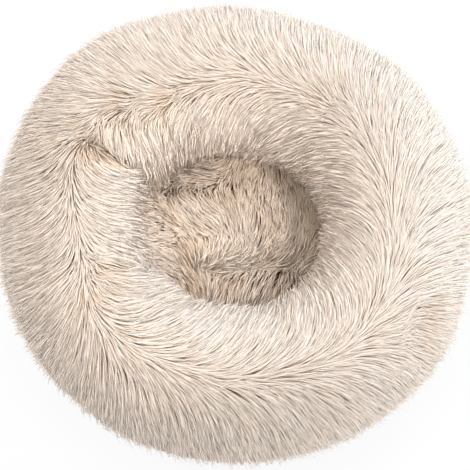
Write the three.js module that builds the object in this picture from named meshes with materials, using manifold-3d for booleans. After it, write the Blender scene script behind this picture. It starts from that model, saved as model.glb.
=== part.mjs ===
// Round donut cat bed in long-pile faux fur. A stuffed rim stands round a soft nest floor on a coated base cloth.
// The fur cover closes with a zip, set into the band between its lower edge and the base cloth at the back, and
// inside it lie a ring bag and a round pad bag, both of non-woven cloth filled with fibre.
// Millimetres, +Z up. The origin is the centre of the face that the bed stands on, and the zip is on the +Y side.
import * as THREE from "three";
import { mergeVertices } from "three/addons/utils/BufferGeometryUtils.js";
import Module from "manifold-3d";

const wasm = await Module();
wasm.setup();

// Whole bed, measured over the pile
const bedDiameter = 500;
const bedHeight = 170;
const nestMouth = 196;

// Fabrics and fillings
const rimPile = 20;
const crestPile = 13;
const floorPile = 21;
const backing = 1.2;
const lining = 0.8;
const baseCloth = 1;
const seat = 0.3;

// Section of the stuffed rim. A squareness of 2 is an ellipse, and more is boxier.
const upperSquareness = 2.1;
const lowerSquareness = 2.8;

// Places round the rim's section, in degrees from its outermost point, over the crest and into the nest
const bandLowerAngle = -52;
const bandUpperAngle = -27;
const skirtAngle = -48;
const nestTuckAngle = 203;
const nestSeamAngle = 232;
const seamPile = 3;
const skirtRoom = 10;
const hemLiftAngle = 3;
const coverStations = [-27, 0, 30, 60, 90, 120, 150, 180, 205, 232];
const bagLowerStations = [205, 232, 250, 270, 290, 308];
const baseStations = [290, 308];

// Nest floor
const padCrown = 24;
const padEdgeThickness = 6.5;
const bindingWidth = 3.2;
const bindingLap = 0.8;
const floorTuck = 9;

// The nest floor's fur lies in one long bowed fold across its near side, with a ditch before it, and in swells and
// hollows. Each of those has its place across and along, its reach and its rise, as shares of the floor's radius.
const foldBow = 178;
const foldFromMiddle = 20;
const foldSideways = -5;
const foldHalfLength = 60;
const foldWidth = 13;
const foldRise = 6;
const ditchDepth = 7;
const ditchFromFold = 15;
const floorSwellShares = [
  [-0.7, 0.34, 0.2, -0.07],
  [-0.53, 0, 0.19, -0.06],
  [-0.42, -0.27, 0.19, -0.07],
  [-0.09, 0.47, 0.17, -0.05],
  [0.5, -0.36, 0.14, -0.09],
  [0.23, 0.11, 0.26, 0.05],
  [-0.3, 0.3, 0.2, 0.04],
  [0.23, -0.47, 0.23, 0.04],
];

// Grip dots on the base cloth
const dotHeight = 0.8;
const dotDiameter = 7;
const dotPitch = 34;
const dotRingCount = 4;
const dotSideCount = 6;
const dotsPerRing = 6;

// Hand-made unevenness of the stuffed rim. It fades out towards the base, which stays round. Each rise goes with a
// number of waves round the bed, and with the angle of a crest.
const ovalRise = 5;
const ovalAngle = 150;
const cornerRise = 2.7;
const cornerAngle = 41;
const crownDip = 4;
const lumpRise = 1.6;
const lumpAngle = 25;
const lumpSize = 28;
const mouthSwell = 4.5;
const mouthShift = 6.5;
const mouthShiftAngle = 20;
const ovalWaveCount = 2;
const cornerWaveCount = 4;
const crownWaveCount = 3;
const lumpWaveCount = 9;
const evenHeight = 36;
const unevenHeight = 90;
const closingSeamAngle = 156;
const closingSeamWidthAngle = 9;
const closingSeamDepth = 5;

// The rim's pile parts along a line that wanders about the crest.
const partingAngle = 98;
const partingSwingAngle = 22;
const partingTurnAngle = 105;
const partingDepth = 4;
const partingWidthAngle = 16;
const pileOuterAngle = -12;
const pileInnerAngle = 184;
const outerPileShares = [0, 0.25, 0.5, 0.8];
const innerPileShares = [0, 0.25, 0.5, 0.75, 1];

// Zip
const toothPitch = 4.4;
const toothPairCount = 54;
const toothThickness = 2.4;
const toothReach = 1.4;
const toothTipWidth = 2.4;
const toothRootWidth = 1.4;
const toothClearance = 0.3;
const beadWidth = 1.6;
const tapeThickness = 0.8;
const bandGap = 0.6;
const zipMiddleAngle = 90;
const windowMarginAngle = 9;
const stopLength = 3;
const stopWall = 0.6;

// Zip slider and its pull
const sliderLength = 12;
const sliderNose = 4.5;
const sliderPlate = 1.1;
const sliderFlange = 1.1;
const runningGap = 0.35;
const dividerLength = 3.6;
const bridgeWidth = 2.2;
const bridgeSpan = 5.4;
const bridgeWall = 0.9;
const pullLength = 17;
const pullWidth = 5.6;
const pullThickness = 1.2;
const pullBar = 1.2;
const pullCorner = 1.1;
const pullEye = 4.4;
const pullHole = 2.4;

// Fineness of the facets
const ringSteps = 48;
const zipSteps = 24;
const floorShares = [0, 0.14, 0.28, 0.42, 0.56, 0.7, 0.84, 1];
const padShares = [0, 0.4, 0.75, 1];
const overrun = 1;

const degrees = THREE.MathUtils.degToRad;
const ease = THREE.MathUtils.smoothstep;
const mix = THREE.MathUtils.lerp;

// Sizes that follow from the ones above
const rimCentreRadius = (bedDiameter + nestMouth) / 4;
const skinHalfWidth = (bedDiameter - nestMouth) / 4 - rimPile;
const baseTop = dotHeight + baseCloth;
const skinBottom = baseTop - backing;
const skinHalfHeight = (bedHeight - crestPile - skinBottom) / 2;
const skinCentreHeight = skinBottom + skinHalfHeight;
const mouthOutward = nestMouth / 2 / rimCentreRadius;
const mouthShare = mouthOutward * (1 - mouthOutward);

// A point of the rim's skin, which is the outer face of the fur's backing, moved out along its normal.
function skinPoint(angle, out = 0) {
  const c = Math.cos(degrees(angle));
  const s = Math.sin(degrees(angle));
  const squareness = s < 0 ? lowerSquareness : upperSquareness;
  const power = (x, exponent) => Math.sign(x) * Math.abs(x) ** exponent;
  const place = new THREE.Vector2(
    rimCentreRadius + skinHalfWidth * power(c, 2 / squareness),
    skinCentreHeight + skinHalfHeight * power(s, 2 / squareness),
  );
  const normal = new THREE.Vector2(
    power(c, 2 - 2 / squareness) / skinHalfWidth,
    power(s, 2 - 2 / squareness) / skinHalfHeight,
  ).normalize();
  return place.addScaledVector(normal, out);
}

const skinRun = (stations, out) => stations.map((angle) => skinPoint(angle, out));

// The pile stands deep on the sides and lies flatter where it parts on the crest.
function pileDepth(angle) {
  const sideShare = Math.cos(degrees(angle)) ** 2;
  return mix(crestPile, rimPile, sideShare);
}

// Where the pile parts, round the rim's section
const partingPlace = (turnAngle) =>
  partingAngle + partingSwingAngle * Math.cos(degrees(turnAngle - partingTurnAngle));

// The face of the pile at a place of the rim's section
function pilePoint(angle, turnAngle) {
  const away = (angle - partingPlace(turnAngle)) / partingWidthAngle;
  const parting = partingDepth * Math.max(0, 1 - Math.abs(away));
  return skinPoint(angle, pileDepth(angle) - parting - seamDip(turnAngle));
}

// The closing seam of the rim's fur strip draws the pile in along one line.
function seamDip(turnAngle) {
  const away = Math.abs(turnAngle - closingSeamAngle) / closingSeamWidthAngle;
  return closingSeamDepth * Math.max(0, 1 - away) ** 2;
}

// One of the waves of the unevenness
const wave = (count, turnAngle, crestAngle = 0) => Math.cos(degrees(count * (turnAngle - crestAngle)));

// The stuffed rim is a little oval and lumpy, its crown dips a little and its mouth lies to one side, all more so the
// higher above the base and the further from the axis.
function handmade(radius, turnAngle, height) {
  const share = ease(height, evenHeight, unevenHeight);
  const outward = Math.min(1, radius / rimCentreRadius);
  const inward = outward * (1 - outward);
  const lump = lumpRise * wave(lumpWaveCount, turnAngle, lumpAngle) * Math.cos(height / lumpSize);
  const rise = ovalRise * wave(ovalWaveCount, turnAngle, ovalAngle) + cornerRise * wave(cornerWaveCount, turnAngle, cornerAngle);
  const mouth = (mouthSwell + mouthShift * wave(1, turnAngle, mouthShiftAngle)) / mouthShare;
  const dip = (crownDip / 2) * (1 - wave(crownWaveCount, turnAngle));
  return [radius + share * ((rise + lump) * outward - mouth * inward), height - share * dip * outward];
}

// A closed mesh from points and triangles, leaving out the triangles that fall together at the axis.
function meshGeometry(points, triangles) {
  const geometry = new THREE.BufferGeometry();
  geometry.setAttribute("position", new THREE.Float32BufferAttribute(points, 3));
  const apart = (a, b) => [0, 1, 2].some((k) => points[3 * a + k] !== points[3 * b + k]);
  const kept = triangles.filter(([a, b, c]) => apart(a, b) && apart(b, c) && apart(c, a));
  geometry.setIndex(kept.flat());
  geometry.computeVertexNormals();
  return geometry;
}

// A solid swept round the bed's axis from a section that may change on the way. sectionAt gives the same number
// of points at each angle, anticlockwise with the radius to the right and the height up. Each facet is split from
// its higher edge to its lower one, so that layers that lie close together bend alike and never cross.
function sweptSolid(sectionAt, fromAngle = 0, toAngle = 360, steps = ringSteps) {
  const closed = toAngle - fromAngle >= 360;
  const slices = closed ? steps : steps + 1;
  const points = [];
  const triangles = [];
  const heights = sectionAt(fromAngle).map((p) => p.y);
  const count = heights.length;
  for (let i = 0; i < slices; i += 1) {
    const turnAngle = mix(fromAngle, toAngle, i / steps);
    const section = sectionAt(turnAngle);
    for (const p of section) {
      const [radius, height] = handmade(p.x, turnAngle, p.y);
      const x = p.x === 0 ? 0 : radius * Math.cos(degrees(turnAngle));
      const y = p.x === 0 ? 0 : radius * Math.sin(degrees(turnAngle));
      points.push(x, y, height);
    }
  }
  for (let i = 0; i < steps; i += 1) {
    const here = i * count;
    const next = ((i + 1) % slices) * count;
    for (let j = 0; j < count; j += 1) {
      const k = (j + 1) % count;
      if (heights[j] < heights[k]) {
        triangles.push([here + j, next + j, here + k], [here + k, next + j, next + k]);
      } else {
        triangles.push([here + j, next + j, next + k], [here + j, next + k, here + k]);
      }
    }
  }
  if (!closed) {
    for (const [slice, turned] of [[0, false], [slices - 1, true]]) {
      const section = sectionAt(mix(fromAngle, toAngle, slice / steps));
      for (const [a, b, c] of THREE.ShapeUtils.triangulateShape(section, [])) {
        const face = [a, b, c].map((corner) => slice * count + corner);
        triangles.push(turned ? face.reverse() : face);
      }
    }
  }
  return meshGeometry(points, triangles);
}

// The band between the base cloth's edge and the fur cover's edge is straight in section, and the zip lies on it.
// Places on the band are measured along the run of the zip, across it and out of it.
const bandFoot = skinPoint(bandLowerAngle, -backing / 2);
const bandHead = skinPoint(bandUpperAngle, -backing / 2);
const bandMiddle = bandFoot.clone().add(bandHead).multiplyScalar(1 / 2);
const bandUp = bandHead.clone().sub(bandFoot).normalize();
const bandOut = new THREE.Vector2(bandUp.y, -bandUp.x);
const bandHalfWidth = bandHead.distanceTo(bandFoot) / 2;
const bandPoint = (across, out) =>
  bandMiddle.clone().addScaledVector(bandUp, across).addScaledVector(bandOut, out);

// Sizes across the zip
const beadBack = toothReach + beadWidth;
const tapeEdge = bandHalfWidth - bandGap;
const channelHalf = toothThickness / 2 + runningGap;
const sliderInside = channelHalf + sliderPlate;
const flangeInner = beadBack + runningGap;
const flangeOuter = flangeInner + sliderFlange;
const tapeSlotHalf = tapeThickness / 2 + runningGap;
const bagRoom = sliderInside + bandGap;
const zipTurnAngle = THREE.MathUtils.radToDeg((toothPairCount * toothPitch) / bandMiddle.x);
const zipEndsAngle = THREE.MathUtils.radToDeg((sliderLength + 2 * stopLength) / bandMiddle.x);
const zipHalfAngle = zipTurnAngle / 2 + zipEndsAngle;

// How much of the pile skirt over the band there is. It leaves the zip's stretch open.
function skirtShare(turnAngle) {
  const away = Math.abs(turnAngle - zipMiddleAngle) - zipHalfAngle - windowMarginAngle;
  return ease(away, 0, windowMarginAngle);
}

// The rim's fur, pile and backing together, from the zip band over the crest down to the nest seam
function rimFurSection(turnAngle) {
  const hemAngle = mix(bandUpperAngle + hemLiftAngle, skirtAngle, skirtShare(turnAngle));
  const parting = partingPlace(turnAngle);
  const pile = [
    ...outerPileShares.map((share) => pilePoint(mix(pileOuterAngle, parting, share), turnAngle)),
    ...innerPileShares.map((share) => pilePoint(mix(parting, pileInnerAngle, share), turnAngle)),
  ];
  const skirtPile = mix(rimPile, rimPile - dotHeight, skirtShare(turnAngle)) - seamDip(turnAngle) / 2;
  return [
    skinPoint(hemAngle, skirtPile),
    ...pile,
    skinPoint(nestTuckAngle, pileDepth(nestTuckAngle)),
    skinPoint(nestSeamAngle, seamPile),
    ...skinRun(coverStations, -backing).reverse(),
    skinPoint(bandUpperAngle, 0),
    skinPoint(bandUpperAngle, skirtRoom),
    skinPoint(hemAngle, skirtRoom),
  ];
}

// The nest floor's pile tucks in below the rim's pile, along the line between these two points.
const tuckTop = skinPoint(nestTuckAngle, pileDepth(nestTuckAngle));
const tuckFoot = skinPoint(nestSeamAngle, seamPile);
const tuckWay = tuckFoot.clone().sub(tuckTop).normalize();
const tuckOut = new THREE.Vector2(tuckWay.y, -tuckWay.x);
const padEdgeHeight = baseTop + padEdgeThickness + 2 * seat;
const floorRadius = tuckFoot.x - bindingLap;
const padRadius = floorRadius - bindingWidth - 2 * seat;

// Underside of the floor fur's backing: a pad's crown, high in the middle
const crownHeight = (radius) => padEdgeHeight + padCrown * (1 - (radius / floorRadius) ** 2);

// How far the floor's fur rises above an even crown, or lies below it
function floorRelief(radius, turnAngle) {
  const x = radius * Math.cos(degrees(turnAngle));
  const y = radius * Math.sin(degrees(turnAngle));
  const bump = (away, reach) => Math.exp(-((away / reach) ** 2));
  const across = foldBow - Math.hypot(x - foldSideways, y + foldFromMiddle - foldBow);
  const along = bump(x - foldSideways, foldHalfLength);
  const fold = foldRise * bump(across, foldWidth) - ditchDepth * bump(across + ditchFromFold, foldWidth);
  const swells = floorSwellShares.map(([right, ahead, reach, rise]) => {
    const away = Math.hypot(x - right * floorRadius, y - ahead * floorRadius);
    return rise * floorRadius * bump(away, reach * floorRadius);
  });
  return swells.reduce((sum, swell) => sum + swell, fold * along);
}

function floorFurSection(turnAngle) {
  const topEdge = tuckTop.clone().addScaledVector(tuckOut, seat).addScaledVector(tuckWay, floorTuck);
  const foot = tuckFoot.clone().addScaledVector(tuckOut, seat).addScaledVector(tuckWay, -seat);
  const top = floorShares.map((share) => {
    const radius = share * topEdge.x;
    const middle = crownHeight(0) + backing + floorPile;
    const height = mix(middle, topEdge.y, share ** 2);
    return new THREE.Vector2(radius, height + (1 - share ** 4) * floorRelief(radius, turnAngle));
  });
  const edge = new THREE.Vector2(floorRadius - seat, padEdgeHeight);
  const under = floorShares.slice(0, -1).map((share) => {
    const radius = share * padRadius;
    return new THREE.Vector2(radius, crownHeight(radius));
  });
  return [...under, edge, foot, ...top.reverse()];
}

// Binding tape over the raw edges of the nest seam, stitched down to the base cloth
function bindingSection() {
  const outer = floorRadius;
  const inner = outer - bindingWidth;
  const low = baseTop + seat;
  const high = padEdgeHeight - seat;
  return [
    new THREE.Vector2(inner, low),
    new THREE.Vector2(outer, low),
    new THREE.Vector2(outer, high),
    new THREE.Vector2(inner, high),
  ];
}

// Faces of the ring bag, a given depth below the cover's inner face. Behind the band they stand back for the slider.
const bagUpperStations = coverStations.filter((angle) => angle >= 0 && angle <= 180);
const bandRun = (depth) => [
  bandPoint(-flangeOuter - seat, -bagRoom - depth),
  bandPoint(flangeOuter + seat, -bagRoom - depth),
];
const bagUpperRun = (depth) => skinRun(bagUpperStations, -backing - seat - depth);
const bagLowerRun = (depth) => [
  ...skinRun(bagLowerStations, -backing - seat - depth),
  ...bandRun(depth),
  skinPoint(bandUpperAngle, -backing - seat - depth),
];
const bagSeam = (angle, depth, shift) =>
  skinPoint(angle, -backing - seat - depth).add(new THREE.Vector2(0, shift));

function bagUpperSection() {
  const face = (depth) => {
    const run = bagUpperRun(depth).slice(1, -1);
    return [bagSeam(0, depth, seat / 2), ...run, bagSeam(180, depth, seat / 2)];
  };
  return [...face(0), ...face(lining).reverse()];
}

function bagLowerSection() {
  const face = (depth) => [
    bagSeam(180, depth, -seat / 2),
    ...bagLowerRun(depth),
    bagSeam(0, depth, -seat / 2),
  ];
  return [...face(0), ...face(lining).reverse()];
}

function rimFillSection() {
  const depth = lining + seat;
  return [...bagUpperRun(depth), ...bagLowerRun(depth)];
}

// Faces of the pad bag under the nest floor
function padBagSection(upper) {
  const low = baseTop + seat;
  const split = low + (padEdgeHeight - low) / 2;
  const roof = (depth) =>
    padShares.map((share) => {
      const radius = share * (padRadius - depth);
      return new THREE.Vector2(radius, crownHeight(radius) - seat - depth);
    });
  const bottom = (depth) =>
    padShares.map((share) => new THREE.Vector2(share * (padRadius - depth), low + depth));
  const hem = (depth, shift) => new THREE.Vector2(padRadius - depth, split + shift);
  return upper
    ? [...roof(lining), hem(lining, seat / 2), hem(0, seat / 2), ...roof(0).reverse()]
    : [...bottom(0), hem(0, -seat / 2), hem(lining, -seat / 2), ...bottom(lining).reverse()];
}

function padFillSection() {
  const depth = lining + seat;
  const low = baseTop + seat + depth;
  const radii = padShares.map((share) => share * (padRadius - depth));
  const roof = radii.map((radius) => new THREE.Vector2(radius, crownHeight(radius) - seat - depth));
  return [...radii.map((radius) => new THREE.Vector2(radius, low)), ...roof.reverse()];
}

// Base cloth: flat below, with its margin turned up round the rim to the band
function baseClothSection() {
  const out = baseCloth - backing;
  return [
    new THREE.Vector2(0, dotHeight),
    new THREE.Vector2(rimCentreRadius / 2, dotHeight),
    new THREE.Vector2(rimCentreRadius, dotHeight),
    ...skinRun(baseStations, out),
    ...skinRun(baseStations, -backing).reverse(),
    new THREE.Vector2(rimCentreRadius, baseTop),
    new THREE.Vector2(rimCentreRadius / 2, baseTop),
    new THREE.Vector2(0, baseTop),
  ];
}

// Solids that are joined or cut
function toSolid(geometry) {
  const plain = geometry.clone();
  for (const name of ["normal", "uv"]) plain.deleteAttribute(name);
  const merged = mergeVertices(plain);
  return new wasm.Manifold(
    new wasm.Mesh({
      numProp: 3,
      vertProperties: merged.attributes.position.array,
      triVerts: new Uint32Array(merged.index.array),
    }),
  );
}

function fromSolid(solid) {
  const made = solid.getMesh();
  const geometry = new THREE.BufferGeometry();
  geometry.setAttribute("position", new THREE.BufferAttribute(made.vertProperties, 3));
  geometry.setIndex(new THREE.BufferAttribute(made.triVerts, 1));
  geometry.computeVertexNormals();
  return geometry;
}

const joined = (geometries) =>
  fromSolid(geometries.map(toSolid).reduce((whole, piece) => whole.add(piece)));

// Grip dots stand in rings of six, twelve and so on round one in the middle, and go a little way into the cloth.
function dotPlaces() {
  const places = [new THREE.Vector2(0, 0)];
  for (let ring = 1; ring <= dotRingCount; ring += 1) {
    for (let k = 0; k < dotsPerRing * ring; k += 1) {
      const angle = degrees((360 * k) / (dotsPerRing * ring));
      places.push(new THREE.Vector2(Math.cos(angle), Math.sin(angle)).multiplyScalar(ring * dotPitch));
    }
  }
  return places;
}

function baseClothWithDots() {
  const height = dotHeight + baseCloth / 2;
  const dots = dotPlaces().map((place) =>
    new THREE.CylinderGeometry(dotDiameter / 2, dotDiameter / 2, height, dotSideCount)
      .rotateX(Math.PI / 2)
      .translate(place.x, place.y, height / 2),
  );
  return joined([sweptSolid(baseClothSection), ...dots]);
}

// Zip parts are drawn flat, with the run of the zip along X and its outer face towards +Z, and then laid on the band.
const zipStartAngle = zipMiddleAngle - zipTurnAngle / 2;

function layOnBand(geometry) {
  const position = geometry.attributes.position;
  for (let i = 0; i < position.count; i += 1) {
    const place = bandPoint(position.getY(i), position.getZ(i));
    const angle = degrees(zipStartAngle) + position.getX(i) / bandMiddle.x;
    position.setXYZ(i, place.x * Math.cos(angle), place.x * Math.sin(angle), place.y);
  }
  geometry.computeVertexNormals();
  return geometry;
}

function extruded(points, depth) {
  const shape = new THREE.Shape(points.map(([x, y]) => new THREE.Vector2(x, y)));
  return new THREE.ExtrudeGeometry(shape, { depth, bevelEnabled: false, steps: 1 });
}

function box(fromX, toX, fromY, toY, fromZ, toZ) {
  return new THREE.BoxGeometry(toX - fromX, toY - fromY, toZ - fromZ).translate(
    (fromX + toX) / 2,
    (fromY + toY) / 2,
    (fromZ + toZ) / 2,
  );
}

// The zip's teeth run from nothing to this length, and bare bead and tape go on past them at both ends.
const chainLength = toothPairCount * toothPitch;
const tapeEnd = sliderLength + 2 * stopLength;
const angleAlong = (length) => THREE.MathUtils.radToDeg(length / bandMiddle.x);

// Tape and bead of one half of the zip, in section
function tapeSection(side) {
  const bead = toothThickness / 2;
  const tape = tapeThickness / 2;
  const section = [
    bandPoint(side * toothReach, -bead),
    bandPoint(side * toothReach, bead),
    bandPoint(side * beadBack, bead),
    bandPoint(side * beadBack, tape),
    bandPoint(side * tapeEdge, tape),
    bandPoint(side * tapeEdge, -tape),
    bandPoint(side * beadBack, -tape),
    bandPoint(side * beadBack, -bead),
  ];
  return side > 0 ? section : section.reverse();
}

// Half of the zip. Its teeth widen towards their tips, so that the two halves lock together.
function zipHalf(side) {
  const from = zipStartAngle - angleAlong(tapeEnd);
  const to = zipStartAngle + angleAlong(chainLength + tapeEnd);
  const tape = sweptSolid(() => tapeSection(side), from, to, zipSteps);
  const root = side * (toothReach + beadWidth / 2);
  const tip = side * (toothClearance - toothReach);
  const teeth = [];
  for (let k = 0; k < toothPairCount; k += 1) {
    const middle = (k + (side > 0 ? 1 / 4 : 3 / 4)) * toothPitch;
    const outline = [
      [middle - toothRootWidth / 2, root],
      [middle - toothTipWidth / 2, tip],
      [middle + toothTipWidth / 2, tip],
      [middle + toothRootWidth / 2, root],
    ];
    const height = toothThickness - 2 * toothClearance;
    teeth.push(layOnBand(extruded(outline, height).translate(0, 0, -height / 2)));
  }
  return joined([tape, ...teeth]);
}

// A stop clipped over one bead, with its arms towards the tape
function topStop(side) {
  const slot = toothThickness / 2 + seat;
  const web = toothReach - seat;
  const outline = [
    [beadBack, slot],
    [web, slot],
    [web, -slot],
    [beadBack, -slot],
    [beadBack, -slot - stopWall],
    [web - stopWall, -slot - stopWall],
    [web - stopWall, slot + stopWall],
    [beadBack, slot + stopWall],
  ];
  const clip = extruded(outline.map(([y, z]) => [side * y, z]), stopLength);
  const start = chainLength + sliderNose + runningGap;
  return layOnBand(clip.rotateX(Math.PI / 2).rotateZ(Math.PI / 2).translate(start, 0, 0));
}

// A stop that holds both beads together at the end where the slider opens the zip
function bottomStop() {
  const slot = toothThickness / 2 + seat;
  const web = toothReach - seat;
  const plate = slot + stopWall;
  const outline = [
    [-beadBack, slot],
    [-web, slot],
    [-web, -slot],
    [-beadBack, -slot],
    [-beadBack, -plate],
    [beadBack, -plate],
    [beadBack, -slot],
    [web, -slot],
    [web, slot],
    [beadBack, slot],
    [beadBack, plate],
    [-beadBack, plate],
  ];
  const stop = extruded(outline, stopLength);
  const start = -stopLength - runningGap;
  return layOnBand(stop.rotateX(Math.PI / 2).rotateZ(Math.PI / 2).translate(start, 0, 0));
}

// The band's plain stretch, round the rest of the bed, between the ends of the zip's tapes
function plainBandSection() {
  const half = tapeThickness / 2;
  return [
    bandPoint(-tapeEdge, -half),
    bandPoint(-tapeEdge, half),
    bandPoint(tapeEdge, half),
    bandPoint(tapeEdge, -half),
  ];
}

function plainBand() {
  const tapeEndAngle = angleAlong(tapeEnd + bandGap);
  const from = zipStartAngle + zipTurnAngle + tapeEndAngle;
  const to = zipStartAngle - tapeEndAngle + 360;
  return sweptSolid(plainBandSection, from, to, Math.round((ringSteps * (to - from)) / 360));
}

// Slider: two plates round the chain, joined by the divider at its nose, with flanges that hold the beads
const pivotHeight = sliderInside + seat + pullThickness / 2;
const bridgeInside = pivotHeight + pullBar / 2 + runningGap;

function sliderGeometry() {
  const tail = sliderNose - sliderLength;
  const half = flangeOuter;
  const corner = sliderFlange;
  const plateOutline = [
    [tail, corner - half],
    [tail + corner, -half],
    [sliderNose - corner, -half],
    [sliderNose, corner - half],
    [sliderNose, half - corner],
    [sliderNose - corner, half],
    [tail + corner, half],
    [tail, half - corner],
  ];
  const plates = [channelHalf, -sliderInside].map((z) =>
    extruded(plateOutline, sliderPlate).translate(0, 0, z),
  );
  const wide = toothReach - runningGap;
  const divider = extruded(
    [
      [sliderNose - dividerLength, 0],
      [sliderNose - dividerLength / 2, -wide],
      [sliderNose, -wide],
      [sliderNose, wide],
      [sliderNose - dividerLength / 2, wide],
    ],
    2 * sliderInside,
  ).translate(0, 0, -sliderInside);
  const flanges = [-1, 1].flatMap((side) =>
    [-1, 1].map((face) => {
      const ys = [side * flangeInner, side * half].sort((a, b) => a - b);
      const zs = [face * tapeSlotHalf, face * (sliderInside - seat)].sort((a, b) => a - b);
      return box(tail + corner, sliderNose - corner, ...ys, ...zs);
    }),
  );
  const outer = bridgeSpan / 2 + bridgeWall;
  const top = bridgeInside + bridgeWall;
  const root = sliderInside - sliderPlate / 2;
  const bridge = extruded(
    [
      [-outer, root],
      [-bridgeSpan / 2, root],
      [-bridgeSpan / 2, bridgeInside],
      [bridgeSpan / 2, bridgeInside],
      [bridgeSpan / 2, root],
      [outer, root],
      [outer, top - bridgeWall / 2],
      [outer - bridgeWall, top],
      [bridgeWall - outer, top],
      [-outer, top - bridgeWall / 2],
    ],
    bridgeWidth,
  )
    .rotateX(Math.PI / 2)
    .translate(0, bridgeWidth / 2, 0);
  return joined([...plates, divider, ...flanges, bridge]);
}

// Pull: a small plate with an eye whose end bar goes through the slider's bridge. It is drawn about its pivot.
function pullGeometry() {
  const half = pullWidth / 2;
  const corner = pullCorner;
  const start = -pullBar / 2;
  const outline = [
    [start, -half],
    [pullLength - corner, -half],
    [pullLength, corner - half],
    [pullLength, half - corner],
    [pullLength - corner, half],
    [start, half],
  ];
  const plate = toSolid(extruded(outline, pullThickness).translate(0, 0, -pullThickness / 2));
  const eyeHalf = bridgeWidth / 2 + runningGap;
  const eye = toSolid(
    box(pullBar / 2, pullEye, -eyeHalf, eyeHalf, -pullThickness - overrun, pullThickness + overrun),
  );
  const hole = toSolid(
    new THREE.CylinderGeometry(pullHole / 2, pullHole / 2, 2 * pullThickness + overrun, dotSideCount * 2)
      .rotateX(Math.PI / 2)
      .translate(pullLength - pullWidth / 2, 0, 0),
  );
  return fromSolid(plate.subtract(eye).subtract(hole));
}

// Colours and finishes
const furFinish = { color: 0xeadccb, roughness: 0.9, metalness: 0 };
const floorFurFinish = { color: 0xe2d0bc, roughness: 0.92, metalness: 0 };
const baseClothFinish = { color: 0xb8ab9a, roughness: 0.7, metalness: 0 };
const bandFinish = { color: 0xd9cab7, roughness: 0.85, metalness: 0 };
const zipFinish = { color: 0xe6dccd, roughness: 0.5, metalness: 0 };
const sliderFinish = { color: 0xb9b4ab, roughness: 0.35, metalness: 0.9 };
const bagFinish = { color: 0xf3f1ec, roughness: 0.95, metalness: 0 };
const fibreFinish = { color: 0xffffff, roughness: 1, metalness: 0 };

function piece(name, geometry, finish) {
  const mesh = new THREE.Mesh(geometry, new THREE.MeshStandardMaterial(finish));
  mesh.name = name;
  return mesh;
}

// The slider waits at the closed end of the chain, its nose against the top stops and its pull laid back over it.
function sliderAssembly() {
  const angle = degrees(zipStartAngle) + chainLength / bandMiddle.x;
  const run = new THREE.Vector3(-Math.sin(angle), Math.cos(angle), 0);
  const radial = new THREE.Vector3(Math.cos(angle), Math.sin(angle), 0);
  const up = radial.clone().multiplyScalar(bandUp.x).setZ(bandUp.y);
  const out = radial.clone().multiplyScalar(bandOut.x).setZ(bandOut.y);
  const slider = new THREE.Group();
  slider.matrixAutoUpdate = false;
  slider.matrix.makeBasis(run, up, out);
  slider.matrix.setPosition(radial.multiplyScalar(bandMiddle.x).setZ(bandMiddle.y));
  slider.add(piece("zip_slider", sliderGeometry(), sliderFinish));
  const pull = piece("zip_pull", pullGeometry(), sliderFinish);
  pull.position.set(0, 0, pivotHeight);
  pull.rotation.y = Math.PI;
  slider.add(pull);
  return slider;
}

const catBed = new THREE.Group();
catBed.add(
  piece("rim_fur_cover", sweptSolid(rimFurSection), furFinish),
  piece("floor_fur_panel", sweptSolid(floorFurSection), floorFurFinish),
  piece("base_cloth", baseClothWithDots(), baseClothFinish),
  piece("closing_band", plainBand(), bandFinish),
  piece("nest_seam_binding", sweptSolid(bindingSection), bandFinish),
  piece("zip_half_upper", zipHalf(1), zipFinish),
  piece("zip_half_lower", zipHalf(-1), zipFinish),
  piece("zip_top_stop_upper", topStop(1), sliderFinish),
  piece("zip_top_stop_lower", topStop(-1), sliderFinish),
  piece("zip_bottom_stop", bottomStop(), sliderFinish),
  sliderAssembly(),
  piece("rim_bag_upper", sweptSolid(bagUpperSection), bagFinish),
  piece("rim_bag_lower", sweptSolid(bagLowerSection), bagFinish),
  piece("rim_fibre_fill", sweptSolid(rimFillSection), fibreFinish),
  piece("pad_bag_upper", sweptSolid(() => padBagSection(true)), bagFinish),
  piece("pad_bag_lower", sweptSolid(() => padBagSection(false)), bagFinish),
  piece("pad_fibre_fill", sweptSolid(padFillSection), fibreFinish),
);

export default catBed;
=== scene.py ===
# Round donut cat bed in long-pile faux fur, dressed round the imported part.
# The sizes are those of the part's source, in millimetres, and the meshes are in metres.
import math

import bmesh
import bpy
import numpy as np
from bpy.props import FloatProperty, FloatVectorProperty, PointerProperty
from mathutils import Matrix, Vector, noise


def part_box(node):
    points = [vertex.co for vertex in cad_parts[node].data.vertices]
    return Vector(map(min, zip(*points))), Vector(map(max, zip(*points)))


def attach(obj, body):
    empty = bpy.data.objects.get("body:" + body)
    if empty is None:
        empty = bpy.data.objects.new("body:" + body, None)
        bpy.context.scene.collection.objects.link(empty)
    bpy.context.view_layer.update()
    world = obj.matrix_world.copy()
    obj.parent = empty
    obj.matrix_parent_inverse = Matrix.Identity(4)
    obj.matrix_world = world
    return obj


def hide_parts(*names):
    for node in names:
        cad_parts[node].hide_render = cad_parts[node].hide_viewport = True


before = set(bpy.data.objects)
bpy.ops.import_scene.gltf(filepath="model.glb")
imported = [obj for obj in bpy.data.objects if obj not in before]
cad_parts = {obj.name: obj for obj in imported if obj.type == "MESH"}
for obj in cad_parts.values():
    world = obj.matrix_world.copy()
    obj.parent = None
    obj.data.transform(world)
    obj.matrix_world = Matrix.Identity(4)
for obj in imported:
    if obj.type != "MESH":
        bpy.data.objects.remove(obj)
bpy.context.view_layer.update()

bl_info = {
    "name": "Donut cat bed",
    "version": (1, 0, 0),
    "blender": (4, 5, 0),
    "location": "View3D > Sidebar > Cat bed",
    "description": "Builds the fur, seams, zip and stage of a round donut cat bed",
    "category": "Object",
}

MM = 0.001

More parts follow.
